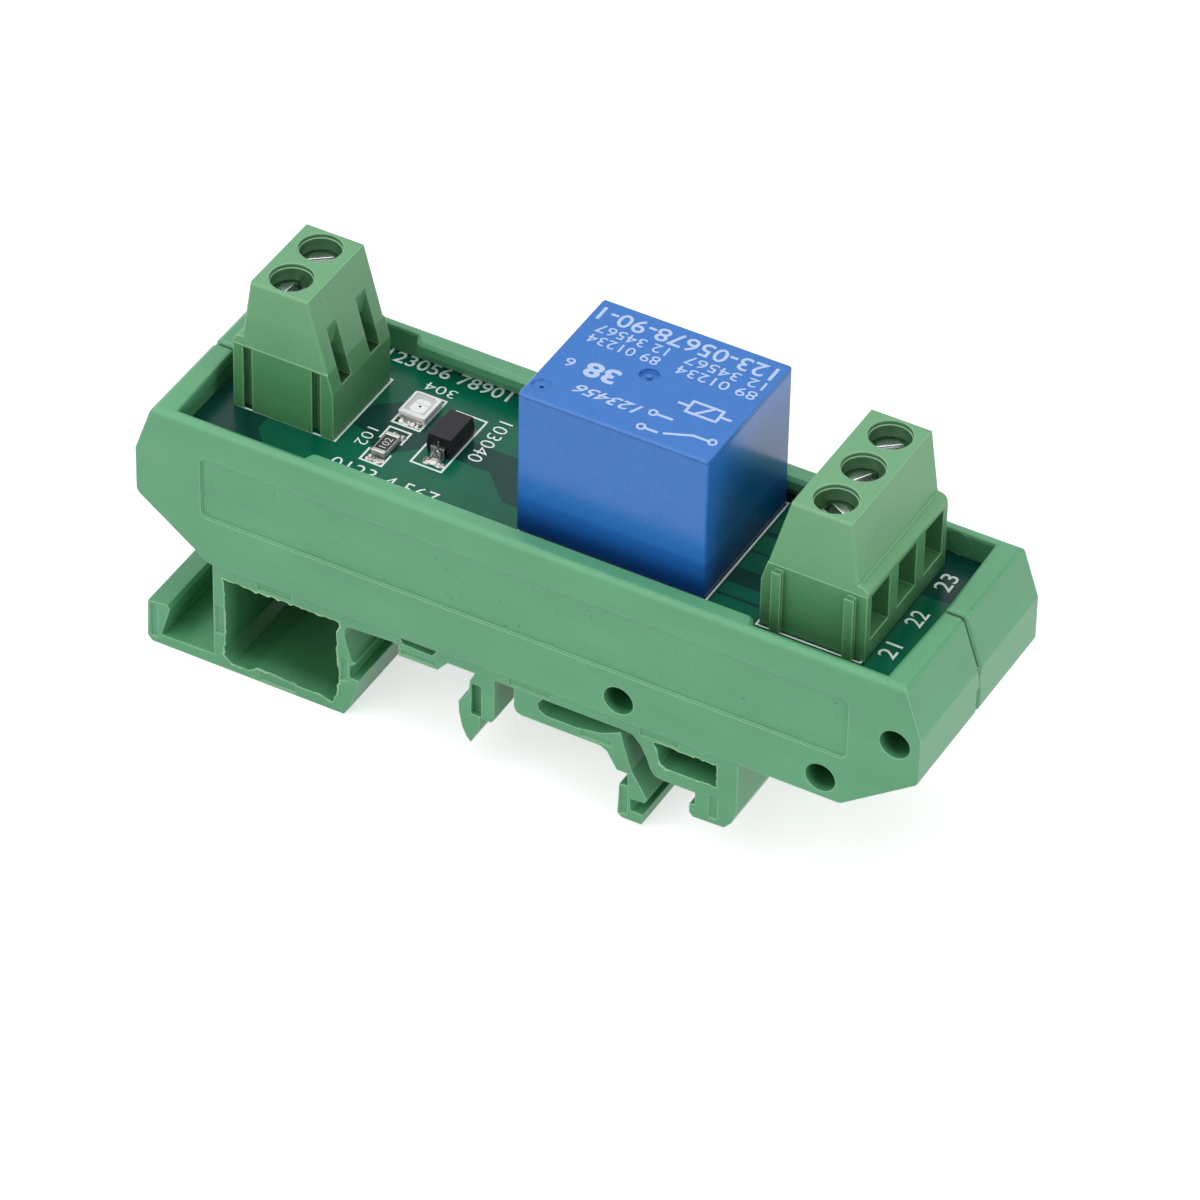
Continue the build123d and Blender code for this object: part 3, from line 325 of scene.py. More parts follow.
@dataclass(frozen=True)
class Tunnels:
    """Painted shade deep inside openings that run through from side to side, below a height."""

    spans: tuple[Point, ...]
    middle: float
    near: float
    face: float
    height: float
    tone: Colour
    soft: float = 0.1 * MM

    def mask(self, recipe: Recipe) -> Wire:
        """Build the mask.

        Args:
            recipe: The material in the making.

        Returns:
            0 in the middle, rising outwards to 1, and 1 above the height and beside the openings.
        """
        away = abs(recipe.along("Y") - self.middle).above(self.near, self.face)
        over = recipe.along("Z").above(self.height, self.height + 2 * self.soft)
        return away.most(over).most(1 - sum(recipe.span("X", *ends, self.soft) for ends in self.spans))


@dataclass(frozen=True)
class Holes:
    """Painted shade deep inside round holes along one axis, from dark to bright below faces on both sides of
    a middle.
    """

    axis: str
    centres: tuple[Sequence[float], ...]
    radius: float
    middle: float
    face: float
    dark: float
    bright: float
    tone: Colour

    def mask(self, recipe: Recipe) -> Wire:
        """Build the mask.

        Args:
            recipe: The material in the making.

        Returns:
            0 within the radius of any centre and behind the faces.
        """
        aside = abs(recipe.along(self.axis) - self.middle)
        away = aside.above(self.face - self.dark, self.face - self.bright)
        across = [float(axis != self.axis) for axis in "XYZ"]
        inside = 0.0
        for centre in self.centres:
            flat = recipe.place(centre, across)
            reach = recipe.node("ShaderNodeVectorMath", {"operation": "LENGTH"}, {0: flat})["Value"]
            inside = inside + (1 - reach.above(self.radius, self.radius + SOFT_EDGE))
        return away.most(1 - inside)


@dataclass(frozen=True)
class Pockets:
    """Painted shade deep inside small openings, each given by two opposite corners."""

    boxes: tuple[tuple[Sequence[float], Sequence[float]], ...]
    tone: Colour

    def mask(self, recipe: Recipe) -> Wire:
        """Be 0 inside any box and 1 elsewhere."""
        return 1 - sum(math.prod(recipe.span(*part) for part in zip("XYZ", *box)) for box in self.boxes)


def with_painted_shade(recipe: Recipe, colour: Wire, painted_shades: Sequence[PaintedShade]) -> Wire:
    """Paint shade under a colour.

    Args:
        recipe: The material in the making.
        colour: The colour in the open.
        painted_shades: Where the shade is painted and how dark it is.

    Returns:
        The colour with its painted shade.
    """
    for depth in painted_shades:
        # Each tone is painted shade, multiplied in where the mask is 0.
        deep = recipe.blend(1.0, colour, depth.tone, "MULTIPLY")
        colour = recipe.blend(depth.mask(recipe), deep, colour)
    return colour


def scaled(colour: Colour, factor: float) -> Colour:
    """A darker or lighter version of a colour."""
    return tuple(c * factor for c in colour)


@dataclass(frozen=True)
class Finish(ABC):
    """A surface that is made into a material of its own."""

    name: str

    @abstractmethod
    def inputs(self, recipe: Recipe) -> dict:
        """Give the shader's inputs, by name, for a material in the making."""

    @cached_property
    def material(self) -> bpy.types.Material:
        """The material, built when it is first asked for."""
        recipe = Recipe.named(self.name)
        return recipe.surface(self.inputs(recipe))


@dataclass(frozen=True)
class MouldedPlastic(Finish):
    """Satin injection-moulded plastic, with slight flow marks, fine grain and dust, a painted highlight along
    its edges and painted shade in given places.
    """

    colour: Colour
    edge_highlight: Colour
    roughness: float = 0.36
    mottle: float = 0.10
    mottle_size: float = 9 * MM
    mottle_squash: float = 2.4
    speck_size: float = 0.35 * MM
    dust_size: float = 0.4 * MM
    grain_size: float = 0.22 * MM
    grain_depth: float = 0.0035 * MM
    edge_radius: float = 0.2 * MM
    shine: float = 0.5
    painted_shades: tuple[PaintedShade, ...] = ()

    def inputs(self, recipe: Recipe) -> dict:
        """Give the shader's inputs.

        Args:
            recipe: The material in the making.

        Returns:
            Values and wires, by the inputs' names.
        """
        place = recipe.place()
        flow = recipe.cloud(recipe.place(scale=(1, 1, self.mottle_squash)), self.mottle_size, 3)
        speck = recipe.cloud(place, self.speck_size, 1)
        normal = recipe.rounded(self.edge_radius)
        tone = (flow * 0.75 + speck * 0.25).above(0.25, 0.75)
        tones = scaled(self.colour, 1 - self.mottle), scaled(self.colour, 1 + self.mottle / 2)
        # Painted shade is laid on where the masks say.
        body = with_painted_shade(recipe, recipe.blend(tone, *tones), self.painted_shades)
        dust = recipe.cloud(place, self.dust_size, 0).above(0.84, 0.87) * 0.5
        body = recipe.blend(dust, body, scaled(self.colour, 0.3))
        grain = recipe.cloud(place, self.grain_size)
        return {
            # Painted highlight: the edges are lightened towards the second colour.
            "Base Color": recipe.blend(recipe.edge(normal).above(0.05, 0.7) * 0.8, body, self.edge_highlight),
            "Roughness": self.roughness - 0.05 + flow * 0.1 + speck * 0.05,
            "Normal": recipe.bump(grain, self.grain_depth, normal),
            "Specular IOR Level": self.shine,
        }


@dataclass(frozen=True)
class GlossPlastic(Finish):
    """Polished moulded plastic with a slight orange-peel surface and a few fine scuffs, a painted highlight
    along its edges and painted shade in given places.
    """

    colour: Colour
    roughness: float = 0.2
    peel_size: float = 2.2 * MM
    peel_depth: float = 0.006 * MM
    speck_size: float = 0.5 * MM
    scuff_size: float = 2.5 * MM
    edge_radius: float = 0.2 * MM
    shine: float = 0.4
    painted_shades: tuple[PaintedShade, ...] = ()

    def inputs(self, recipe: Recipe) -> dict:
        """Give the shader's inputs.

        Args:
            recipe: The material in the making.

        Returns:
            Values and wires, by the inputs' names.
        """
        place = recipe.place()
        peel = recipe.cloud(place, self.peel_size)
        speck = recipe.cloud(place, self.speck_size).above(0.3, 0.7)
        scuff = recipe.cloud(recipe.place(scale=(1, 1, 2)), self.scuff_size, 5).above(0.55, 0.8)
        normal = recipe.rounded(self.edge_radius)
        # Painted highlight: a lighter copy of the colour, blended in along the edges.
        light = tuple(min(1.0, c * 1.35 + 0.04) for c in self.colour)
        # Painted shade is laid on where the masks say.
        body = with_painted_shade(recipe, recipe.blend(speck, scaled(self.colour, 0.93), self.colour), self.painted_shades)
        return {
            "Base Color": recipe.blend(recipe.edge(normal).above(0.1, 1.0) * 0.3, body, light),
            "Roughness": self.roughness + scuff * 0.08,
            "Normal": recipe.bump(peel, self.peel_depth, normal),
            "Specular IOR Level": self.shine,
        }


@dataclass(frozen=True)
class SolderMask(Finish):
    """Gloss mask over laminate or copper, with the glass weave faintly seen where nothing lies below."""

    colour: Colour
    weave: float = 0.0
    thread: float = 0.45 * MM
    blotch_size: float = 4 * MM
    ripple_size: float = 1.2 * MM
    ripple_depth: float = 0.004 * MM
    roughness: float = 0.16
    shine: float = 0.24

    def inputs(self, recipe: Recipe) -> dict:
        """Give the shader's inputs.

        Args:
            recipe: The material in the making.

        Returns:
            Values and wires, by the inputs' names.
        """
        place = recipe.place()
        blotch = recipe.cloud(place, self.blotch_size, 3)
        cloth = math.prod(recipe.wave("BANDS", axis, place, self.thread, 0.4) for axis in "XY")
        tone = blotch.above(0.2, 0.8) * 0.7 + cloth * self.weave
        ripple = recipe.cloud(place, self.ripple_size)
        return {
            "Base Color": recipe.blend(tone, scaled(self.colour, 0.72), self.colour),
            "Roughness": self.roughness + blotch * 0.1,
            "Normal": recipe.bump(ripple * 0.7 + cloth * 0.3, self.ripple_depth),
            "Specular IOR Level": self.shine,
        }


@dataclass(frozen=True)
class Metal(Finish):
    """Plated or tinned metal with cloudy gloss and small dents."""

    colour: Colour
    roughness: float = 0.24
    cloud_size: float = 0.8 * MM
    dent_depth: float = 0.012 * MM
    edge_radius: float = 0.1 * MM
    dull: Colour = (0.24, 0.24, 0.23)

    def inputs(self, recipe: Recipe) -> dict:
        """Give the shader's inputs.

        Args:
            recipe: The material in the making.

        Returns:
            Values and wires, by the inputs' names.
        """
        place = recipe.place()
        patch = recipe.cloud(place, self.cloud_size, 4)
        dent = recipe.cloud(place, self.cloud_size * 0.6, 3)
        return {
            "Base Color": recipe.blend(patch.above(0.45, 0.8) * 0.6, self.colour, self.dull),
            "Metallic": 1.0,
            "Roughness": self.roughness + patch * 0.22,
            "Normal": recipe.bump(dent, self.dent_depth, recipe.rounded(self.edge_radius)),
        }


@dataclass(frozen=True)
class TurnedMetal(Finish):
    """A screw's plated head with the fine rings that turning leaves, round the screw's own axis."""

    centre: Sequence[float]
    colour: Colour = (0.66, 0.68, 0.68)
    stained: Colour = (0.3, 0.31, 0.3)
    ring_pitch: float = 0.22 * MM
    ring_depth: float = 0.006 * MM
    stain_size: float = 1.1 * MM
    scratch_size: float = 1.2 * MM
    edge_radius: float = 0.14 * MM

    def inputs(self, recipe: Recipe) -> dict:
        """Give the shader's inputs.

        Args:
            recipe: The material in the making.

        Returns:
            Values and wires, by the inputs' names.
        """
        place = recipe.place(self.centre)
        rings = recipe.wave("RINGS", "Z", place, self.ring_pitch, 0.3)
        stain = recipe.cloud(place, self.stain_size, 4)
        scratch = recipe.cloud(recipe.place(self.centre, (1, 9, 1)), self.scratch_size, 3).above(0.55, 0.75)
        relief = rings * 0.6 + scratch * 0.4
        return {
            "Base Color": recipe.blend(stain.above(0.5, 0.85) * 0.5, self.colour, self.stained),
            "Metallic": 1.0,
            "Roughness": 0.1 + stain * 0.14 + scratch * 0.12,
            "Normal": recipe.bump(relief, self.ring_depth, recipe.rounded(self.edge_radius)),
        }


@dataclass(frozen=True)
class Ink(Finish):
    """Screen or pad printed ink, a little uneven in cover."""

    colour: Colour
    under: Colour
    wear: float = 0.25
    patch_size: float = 0.25 * MM
    relief: float = 0.004 * MM

    def inputs(self, recipe: Recipe) -> dict:
        """Give the shader's inputs.

        Args:
            recipe: The material in the making.

        Returns:
            Values and wires, by the inputs' names.
        """
        thin = recipe.cloud(recipe.place(), self.patch_size, 3).above(0.55, 0.8) * self.wear
        return {
            "Base Color": recipe.blend(thin, self.colour, self.under),
            "Roughness": 0.5 + thin * 0.2,
            "Normal": recipe.bump(thin, self.relief),
        }


@dataclass(frozen=True)
class CopperWinding(Finish):
    """Enamelled wire in level turns, with painted shade in the grooves between them."""

    colour: Colour = (0.55, 0.2, 0.09)
    wire: float = 0.12 * MM
    groove: float = 0.03 * MM

    def inputs(self, recipe: Recipe) -> dict:
        """Give the shader's inputs.

        Args:
            recipe: The material in the making.

        Returns:
            Values and wires, by the inputs' names.
        """
        turns = recipe.wave("BANDS", "Z", recipe.place(), self.wire)
        return {
            # Painted shade: the colour is halved in the grooves between turns.
            "Base Color": recipe.blend(turns, scaled(self.colour, 0.5), self.colour),
            "Metallic": 0.8,
            "Roughness": 0.3 + turns * 0.1,
            "Normal": recipe.bump(turns, self.groove),
        }


def drawing_level() -> float:
    """The height of the side plate's lower edge, from which the carrier's drawing counts upwards."""
    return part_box("carrier_near")[1].z - RIM_RISE


def carrier_painted_shades() -> tuple[PaintedShade, ...]:
    """Painted shade in the foot's openings, the bores and the seam between the two mouldings.

    Windows are given by their two ends along the carrier, and bores by their distance from its end and
    their height, all in drawing millimetres.

    Returns:
        The painted shade, in the order in which it is laid on.
    """
    (low, high), level = CAD_BOX, drawing_level()
    middle, half = (low.y + high.y) / 2, (high.y - low.y) / 2
    windows = tuple((low.x + start * MM, low.x + end * MM) for start, end in ((8.6, 21.2), (53.4, 60.0)))
    bores = tuple((end + sign * x * MM, 0.0, level + z * MM)
                  for end, sign in ((low.x, 1), (high.x, -1))
                  for x, z in ((9.55, 2.1), (29.8, 2.1), (2.5, 9.05)))
    slit = 0.17 * MM
    seam = (low.x, middle - slit, low.z), (high.x, middle + slit, high.z)
    # Painted shade: darker tones inside the windows, the bores and the seam, where little light comes.
    return (
        Tunnels(windows, middle, near=half - 3 * MM, face=half - 0.4 * MM, height=level,
                tone=(0.42, 0.56, 0.44)),
        Holes("Y", bores, radius=1.52 * MM, middle=middle, face=half, dark=1.2 * MM, bright=0.1 * MM,
              tone=(0.30, 0.45, 0.34)),
        Pockets((seam,), tone=(0.20, 0.34, 0.24)),
    )


def block_painted_shades() -> tuple[PaintedShade, ...]:
    """Painted shade and the painted reflection of the green walls on the blocks' lower parts, and painted
    shade in the screw wells, the hollows behind the test slots and these slots' feet.

    A hollow and a foot are given by two distances from the block's back, half their width, and two
    heights over the block's underside, in millimetres.

    Returns:
        The painted shade, in the order in which it is laid on.
    """
    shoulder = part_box("circuit_board")[1].z + 7.1 * MM
    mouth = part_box("input_terminal_housing")[1].z
    screws = {name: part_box(name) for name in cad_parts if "_screw_" in name}
    centres = {name: (low + high) / 2 for name, (low, high) in screws.items()}
    hollow, slot_foot = (6.5, 2.6, 1.73, 5.2, 10.3), (2.8, -0.1, 0.885, 5.3, 5.45)
    boxes = []
    for name, centre in centres.items():
        side = name.split("_")[0]
        sign = 1 if side == "input" else -1
        low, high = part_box(f"{side}_terminal_housing")
        back = (high if sign > 0 else low).x
        for near, far, half, foot, head in (hollow, slot_foot):
            start, end = sorted((back - sign * near * MM, back - sign * far * MM))
            boxes.append(((start, centre.y - half * MM, low.z + foot * MM),
                          (end, centre.y + half * MM, low.z + head * MM)))
    # Painted shade and painted reflection below the shoulder, and painted shade in the wells, the hollows and
    # the slot feet.
    return (
        Low(shoulder, shoulder + 0.3 * MM, tone=(0.55, 0.72, 0.58)),
        Holes("Z", tuple(centres.values()), radius=2.06 * MM, middle=0.0, face=mouth, dark=0.35 * MM,
              bright=0.05 * MM, tone=(0.24, 0.40, 0.27)),
        Pockets(tuple(boxes), tone=(0.10, 0.16, 0.10)),
    )


def relay_painted_shades() -> tuple[PaintedShade, ...]:
    """Painted shade and the painted dark reflection of the carrier's walls on the case's lower part, in two
    steps.

    Returns:
        The painted shade, in the order in which it is laid on.
    """
    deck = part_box("circuit_board")[1].z
    return (
        Low(deck + 3.7 * MM, deck + 4.5 * MM, tone=(0.66, 0.77, 0.83)),
        Low(deck + 0.9 * MM, deck + 4.0 * MM, tone=(0.40, 0.52, 0.62)),
    )


class Finishes:
    """Every finish of the module but those of the screws, which have their own axes."""

    # The second, paler colour of each moulded plastic is a painted highlight along its edges.
    carrier = MouldedPlastic("carrier_green", srgb(87, 157, 113), srgb(168, 218, 178),
                             painted_shades=carrier_painted_shades())
    # The flash is the carrier's own plastic; its paler colour is a painted highlight on the thin bead.
    flash = MouldedPlastic("flash_green", srgb(140, 196, 148), srgb(170, 216, 178), mottle=0.2,
                           edge_radius=0.02 * MM)
    terminal = MouldedPlastic("terminal_green", srgb(100, 158, 112), srgb(168, 212, 172),
                              roughness=0.42, mottle=0.08, painted_shades=block_painted_shades())
    mask = SolderMask("mask_on_laminate", srgb(8, 68, 60), weave=0.3)
    pour = SolderMask("mask_on_copper", srgb(6, 106, 78))
    # The relay's case is darker towards the board: painted shade and painted reflection.
    relay = GlossPlastic("relay_blue", srgb(46, 115, 196), painted_shades=relay_painted_shades())
    base = GlossPlastic("relay_base_blue", srgb(40, 100, 180), roughness=0.4)
    dark = MouldedPlastic("moulding_black", srgb(24, 22, 27), srgb(62, 59, 68), roughness=0.42,
                          grain_depth=0.01 * MM, shine=0.25)
    former = MouldedPlastic("coil_former", srgb(40, 40, 44), srgb(70, 70, 76), roughness=0.45)
    white = MouldedPlastic("indicator_white", srgb(240, 240, 238), srgb(252, 252, 250),
                           roughness=0.3, mottle=0.03, edge_radius=0.05 * MM)
    resin = GlossPlastic("indicator_resin", srgb(208, 210, 213), roughness=0.12, edge_radius=0.03 * MM)
    pad = GlossPlastic("indicator_pad", srgb(254, 254, 254), roughness=0.3, edge_radius=0.01 * MM)
    ceramic = MouldedPlastic("chip_ceramic", srgb(176, 176, 172), srgb(205, 205, 200), roughness=0.4,
                             edge_radius=0.04 * MM)
    glaze = GlossPlastic("chip_glaze", srgb(30, 28, 28), roughness=0.28, edge_radius=0.01 * MM)
    tin = Metal("tinned", (0.50, 0.50, 0.48), roughness=0.3)
    solder = Metal("solder", (0.36, 0.36, 0.35), roughness=0.16, cloud_size=0.36 * MM,
                   dent_depth=0.065 * MM, dull=(0.03, 0.026, 0.022))
    cage = Metal("plated_cage", (0.5, 0.5, 0.49), roughness=0.34)
    iron = Metal("nickelled_iron", (0.6, 0.6, 0.58), roughness=0.3)
    brass = Metal("contact_brass", (0.72, 0.53, 0.26), roughness=0.3, dull=(0.35, 0.25, 0.12))
    copper = CopperWinding("copper_turns")
    silk = Ink("silk_white", srgb(234, 243, 240), srgb(110, 160, 138))
    relay_ink = Ink("relay_print", srgb(176, 196, 232), srgb(110, 160, 224))
    chip_ink = Ink("chip_print", srgb(206, 208, 208), srgb(90, 90, 92))


def dress(node: str, finish: Finish) -> None:
    """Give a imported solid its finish.

    Args:
        node: The solid's name.
        finish: The finish that all its slots get.
    """
    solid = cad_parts[node]
    if not solid.material_slots:
        solid.data.materials.append(finish.material)
    for material_slot in solid.material_slots:
        material_slot.material = finish.material
    LOG.info("dressed %s in %s", node, finish.name)


def placed(name: str, data: bpy.types.ID) -> bpy.types.Object:
    """Put data in the scene as an object.

    Args:
        name: The object's name.
        data: Its mesh, curve, light or camera.

    Returns:
        The object.
    """
    made = bpy.data.objects.new(name, data)
    bpy.context.collection.objects.link(made)
    return made


def as_mesh(made: bmesh.types.BMesh, name: str = "part") -> bpy.types.Mesh:
    """Close a bmesh.

    Args:
        made: The bmesh.
        name: The mesh's name.

    Returns:
        What was made in it.
    """
    mesh = bpy.data.meshes.new(name)
    made.to_mesh(mesh)
    made.free()
    return mesh


def settle(name: str, meshes: Sequence[bpy.types.Mesh], finish: Finish) -> None:
    """Join meshes into a finished piece of the carrier's body.

    Args:
        name: The piece's name.
        meshes: Its parts, in place.
        finish: Its finish.
    """
    made = bmesh.new()
    for part in meshes:
        made.from_mesh(part)
    mesh = as_mesh(made, name)
    mesh.materials.append(finish.material)
    piece = placed(name, mesh)
    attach(piece, "carrier")
    LOG.info("made %s with %d faces", name, len(mesh.polygons))


def closed_curve(dimensions: str, points: Sequence[Sequence[float]]) -> bpy.types.Curve:
    """A closed line, straight from point to point.

    Args:
        dimensions: 2D or 3D.
        points: The points.

    Returns:
        The curve.
    """
    data = bpy.data.curves.new("closed", "CURVE")
    data.dimensions = dimensions
    line = data.splines.new("POLY")
    line.points.add(len(points) - 1)
    for point, place in zip(line.points, points):
        point.co = (*place, 1)
    line.use_cyclic_u = True
    return data


def curve_mesh(data: bpy.types.Curve, place: Matrix) -> bpy.types.Mesh:
    """Make a curve or text a mesh, then put it in its place.

    Args:
        data: The curve or text.
        place: Where it goes.

    Returns:
        The mesh.
    """
    holder = placed("holder", data)
    bpy.context.view_layer.update()
    mesh = bpy.data.meshes.new_from_object(holder.evaluated_get(bpy.context.evaluated_depsgraph_get()))
    bpy.data.objects.remove(holder)
    mesh.transform(place)
    return mesh


def turned(x: float, y: float, z: float, degrees: float) -> Matrix:
    """A place on a level face, turned about the upright axis."""
    return Matrix.Translation((x, y, z)) @ Matrix.Rotation(math.radians(degrees), 4, "Z")


@dataclass(frozen=True)
class Print:
    """Flat marks on a level face: digits, strokes, rings and filled plates.

    The bars of a line grow thicker one by one, so that no two upper faces lie in one plane where they cross.
    """

    height: float
    thick: float = 0.02 * MM
    sunk: float = 0.006 * MM
    step: float = 0.3

    def _raised(self) -> float:
        """The height of the marks' middle."""
        return self.height - self.sunk + self.thick / 2

    def digits(self, text: str, x: float, y: float, degrees: float, size: float, span: float,
               weight: float = 0.0, slant: float = 0.0) -> bpy.types.Mesh:
        """Plain numbers, fitted to a length.

        Args:
            text: The digits.
            x: The place of the first one's foot.
            y: The place of the first one's foot.
            degrees: The turn of the reading direction from +X.
            size: The digits' height.
            span: The length of the row.
            weight: How much bolder than the usual one, as a share of their height.
            slant: Their slant.

        Returns:
            The mesh.
        """
        data = bpy.data.curves.new("digits", "FONT")
        data.body = text
        data.offset = weight
        data.shear = slant
        data.resolution_u = 3
        data.extrude = self.thick / 2
        mesh = curve_mesh(data, Matrix.Identity(4))
        xs = [vert.co.x for vert in mesh.vertices]
        ys = [vert.co.y for vert in mesh.vertices]
        fit = Matrix.Diagonal((span / (max(xs) - min(xs)), size / (max(ys) - min(ys)), 1.0, 1.0))
        start = Matrix.Translation((-min(xs), -min(ys), 0))
        mesh.transform(turned(x, y, self._raised(), degrees) @ fit @ start)
        return mesh

    def plate(self, points: Sequence[Point]) -> bpy.types.Mesh:
        """A filled outline.

        Args:
            points: Its corners.

        Returns:
            The mesh.
        """
        data = closed_curve("2D", [(x, y, 0) for x, y in points])
        data.fill_mode = "BOTH"
        data.extrude = self.thick / 2
        return curve_mesh(data, Matrix.Translation((0, 0, self._raised())))

    def line(self, points: Sequence[Point], width: float, closed: bool = False) -> bpy.types.Mesh:
        """A drawn line with square ends, as a row of flat bars.

        Args:
            points: The corners that it passes.
            width: Its width.
            closed: Whether it ends where it starts.

        Returns:
            The mesh.
        """
        corners = [Vector(p) for p in points]
        pairs = list(zip(corners, corners[1:] + corners[:1]))
        bars = bmesh.new()
        for number, (start, end) in enumerate(pairs if closed else pairs[:-1]):
            along = end - start
            middle = (start + end) / 2
            place = turned(middle.x, middle.y, self._raised(), math.degrees(math.atan2(along.y, along.x)))
            tall = self.thick * (1 + self.step * number)
            size = Matrix.Diagonal((along.length + width, width, tall, 1.0))
            bmesh.ops.create_cube(bars, size=1.0, matrix=place @ size)
        return as_mesh(bars)

    def ring(self, x: float, y: float, radius: float, width: float, segments: int = 28) -> bpy.types.Mesh:
        """A flat ring, turned round its middle from one upright section.

        Args:
            x: The place of its middle.
            y: The place of its middle.
            radius: The radius of its middle line.
            width: The width of its line.
            segments: The number of its corners.

        Returns:
            The mesh.
        """
        made = bmesh.new()
        section = bmesh.ops.create_grid(made, x_segments=1, y_segments=1, size=0.5)
        upright = Matrix.Rotation(math.radians(90), 4, "X") @ Matrix.Diagonal((width, self.thick, 1.0, 1.0))
        bmesh.ops.transform(made, matrix=Matrix.Translation((radius, 0, 0)) @ upright, verts=section["verts"])
        bmesh.ops.spin(made, geom=made.verts[:] + made.edges[:] + made.faces[:], cent=(0, 0, 0),
                       axis=(0, 0, 1), angle=math.tau, steps=segments, use_merge=True)
        bmesh.ops.remove_doubles(made, verts=made.verts[:], dist=self.thick * 0.1)
        bmesh.ops.recalc_face_normals(made, faces=made.faces[:])
        bmesh.ops.translate(made, verts=made.verts[:], vec=(x, y, self._raised()))
        return as_mesh(made)


@dataclass(frozen=True)
class Drop:
    """A frozen drop of solder: its middle and half lengths in millimetres, and how far it is drawn up."""

    x: float
    y: float
    wide: float
    deep: float
    tall: float
    peak: float = 0.0
    rough: float = 0.22
    taper: float = 0.35

    def mesh(self, centre: Vector, seed: float) -> bpy.types.Mesh:
        """Make the drop on a level face.

        Args:
            centre: The middle of the drop's foot.
            seed: A number that picks its dents.

        Returns:
            The mesh.
        """
        drop = bmesh.new()
        bmesh.ops.create_icosphere(drop, subdivisions=4, radius=1.0)
        for vert in drop.verts:
            vert.co *= 1 + self.rough * noise.noise(vert.co * 1.7 + Vector((seed, seed * 2.3, 0)))
            if vert.co.z > 0:
                vert.co.z += self.peak * max(0.0, 1 - math.hypot(vert.co.x, vert.co.y) * 2.2)
                vert.co.xy = vert.co.xy * (1 - self.taper * min(1.0, vert.co.z))
        size = Matrix.Diagonal((self.wide * MM, self.deep * MM, self.tall * MM, 1.0))
        bmesh.ops.transform(drop, matrix=Matrix.Translation(centre) @ size, verts=drop.verts[:])
        geometry = drop.verts[:] + drop.edges[:] + drop.faces[:]
        cut = bmesh.ops.bisect_plane(drop, geom=geometry, plane_co=centre, plane_no=(0, 0, -1),
                                     clear_outer=True)
        rim = [e for e in cut["geom_cut"] if isinstance(e, bmesh.types.BMEdge)]
        bmesh.ops.contextual_create(drop, geom=rim)
        bmesh.ops.recalc_face_normals(drop, faces=drop.faces[:])
        for face in drop.faces:
            face.smooth = True
        return as_mesh(drop)


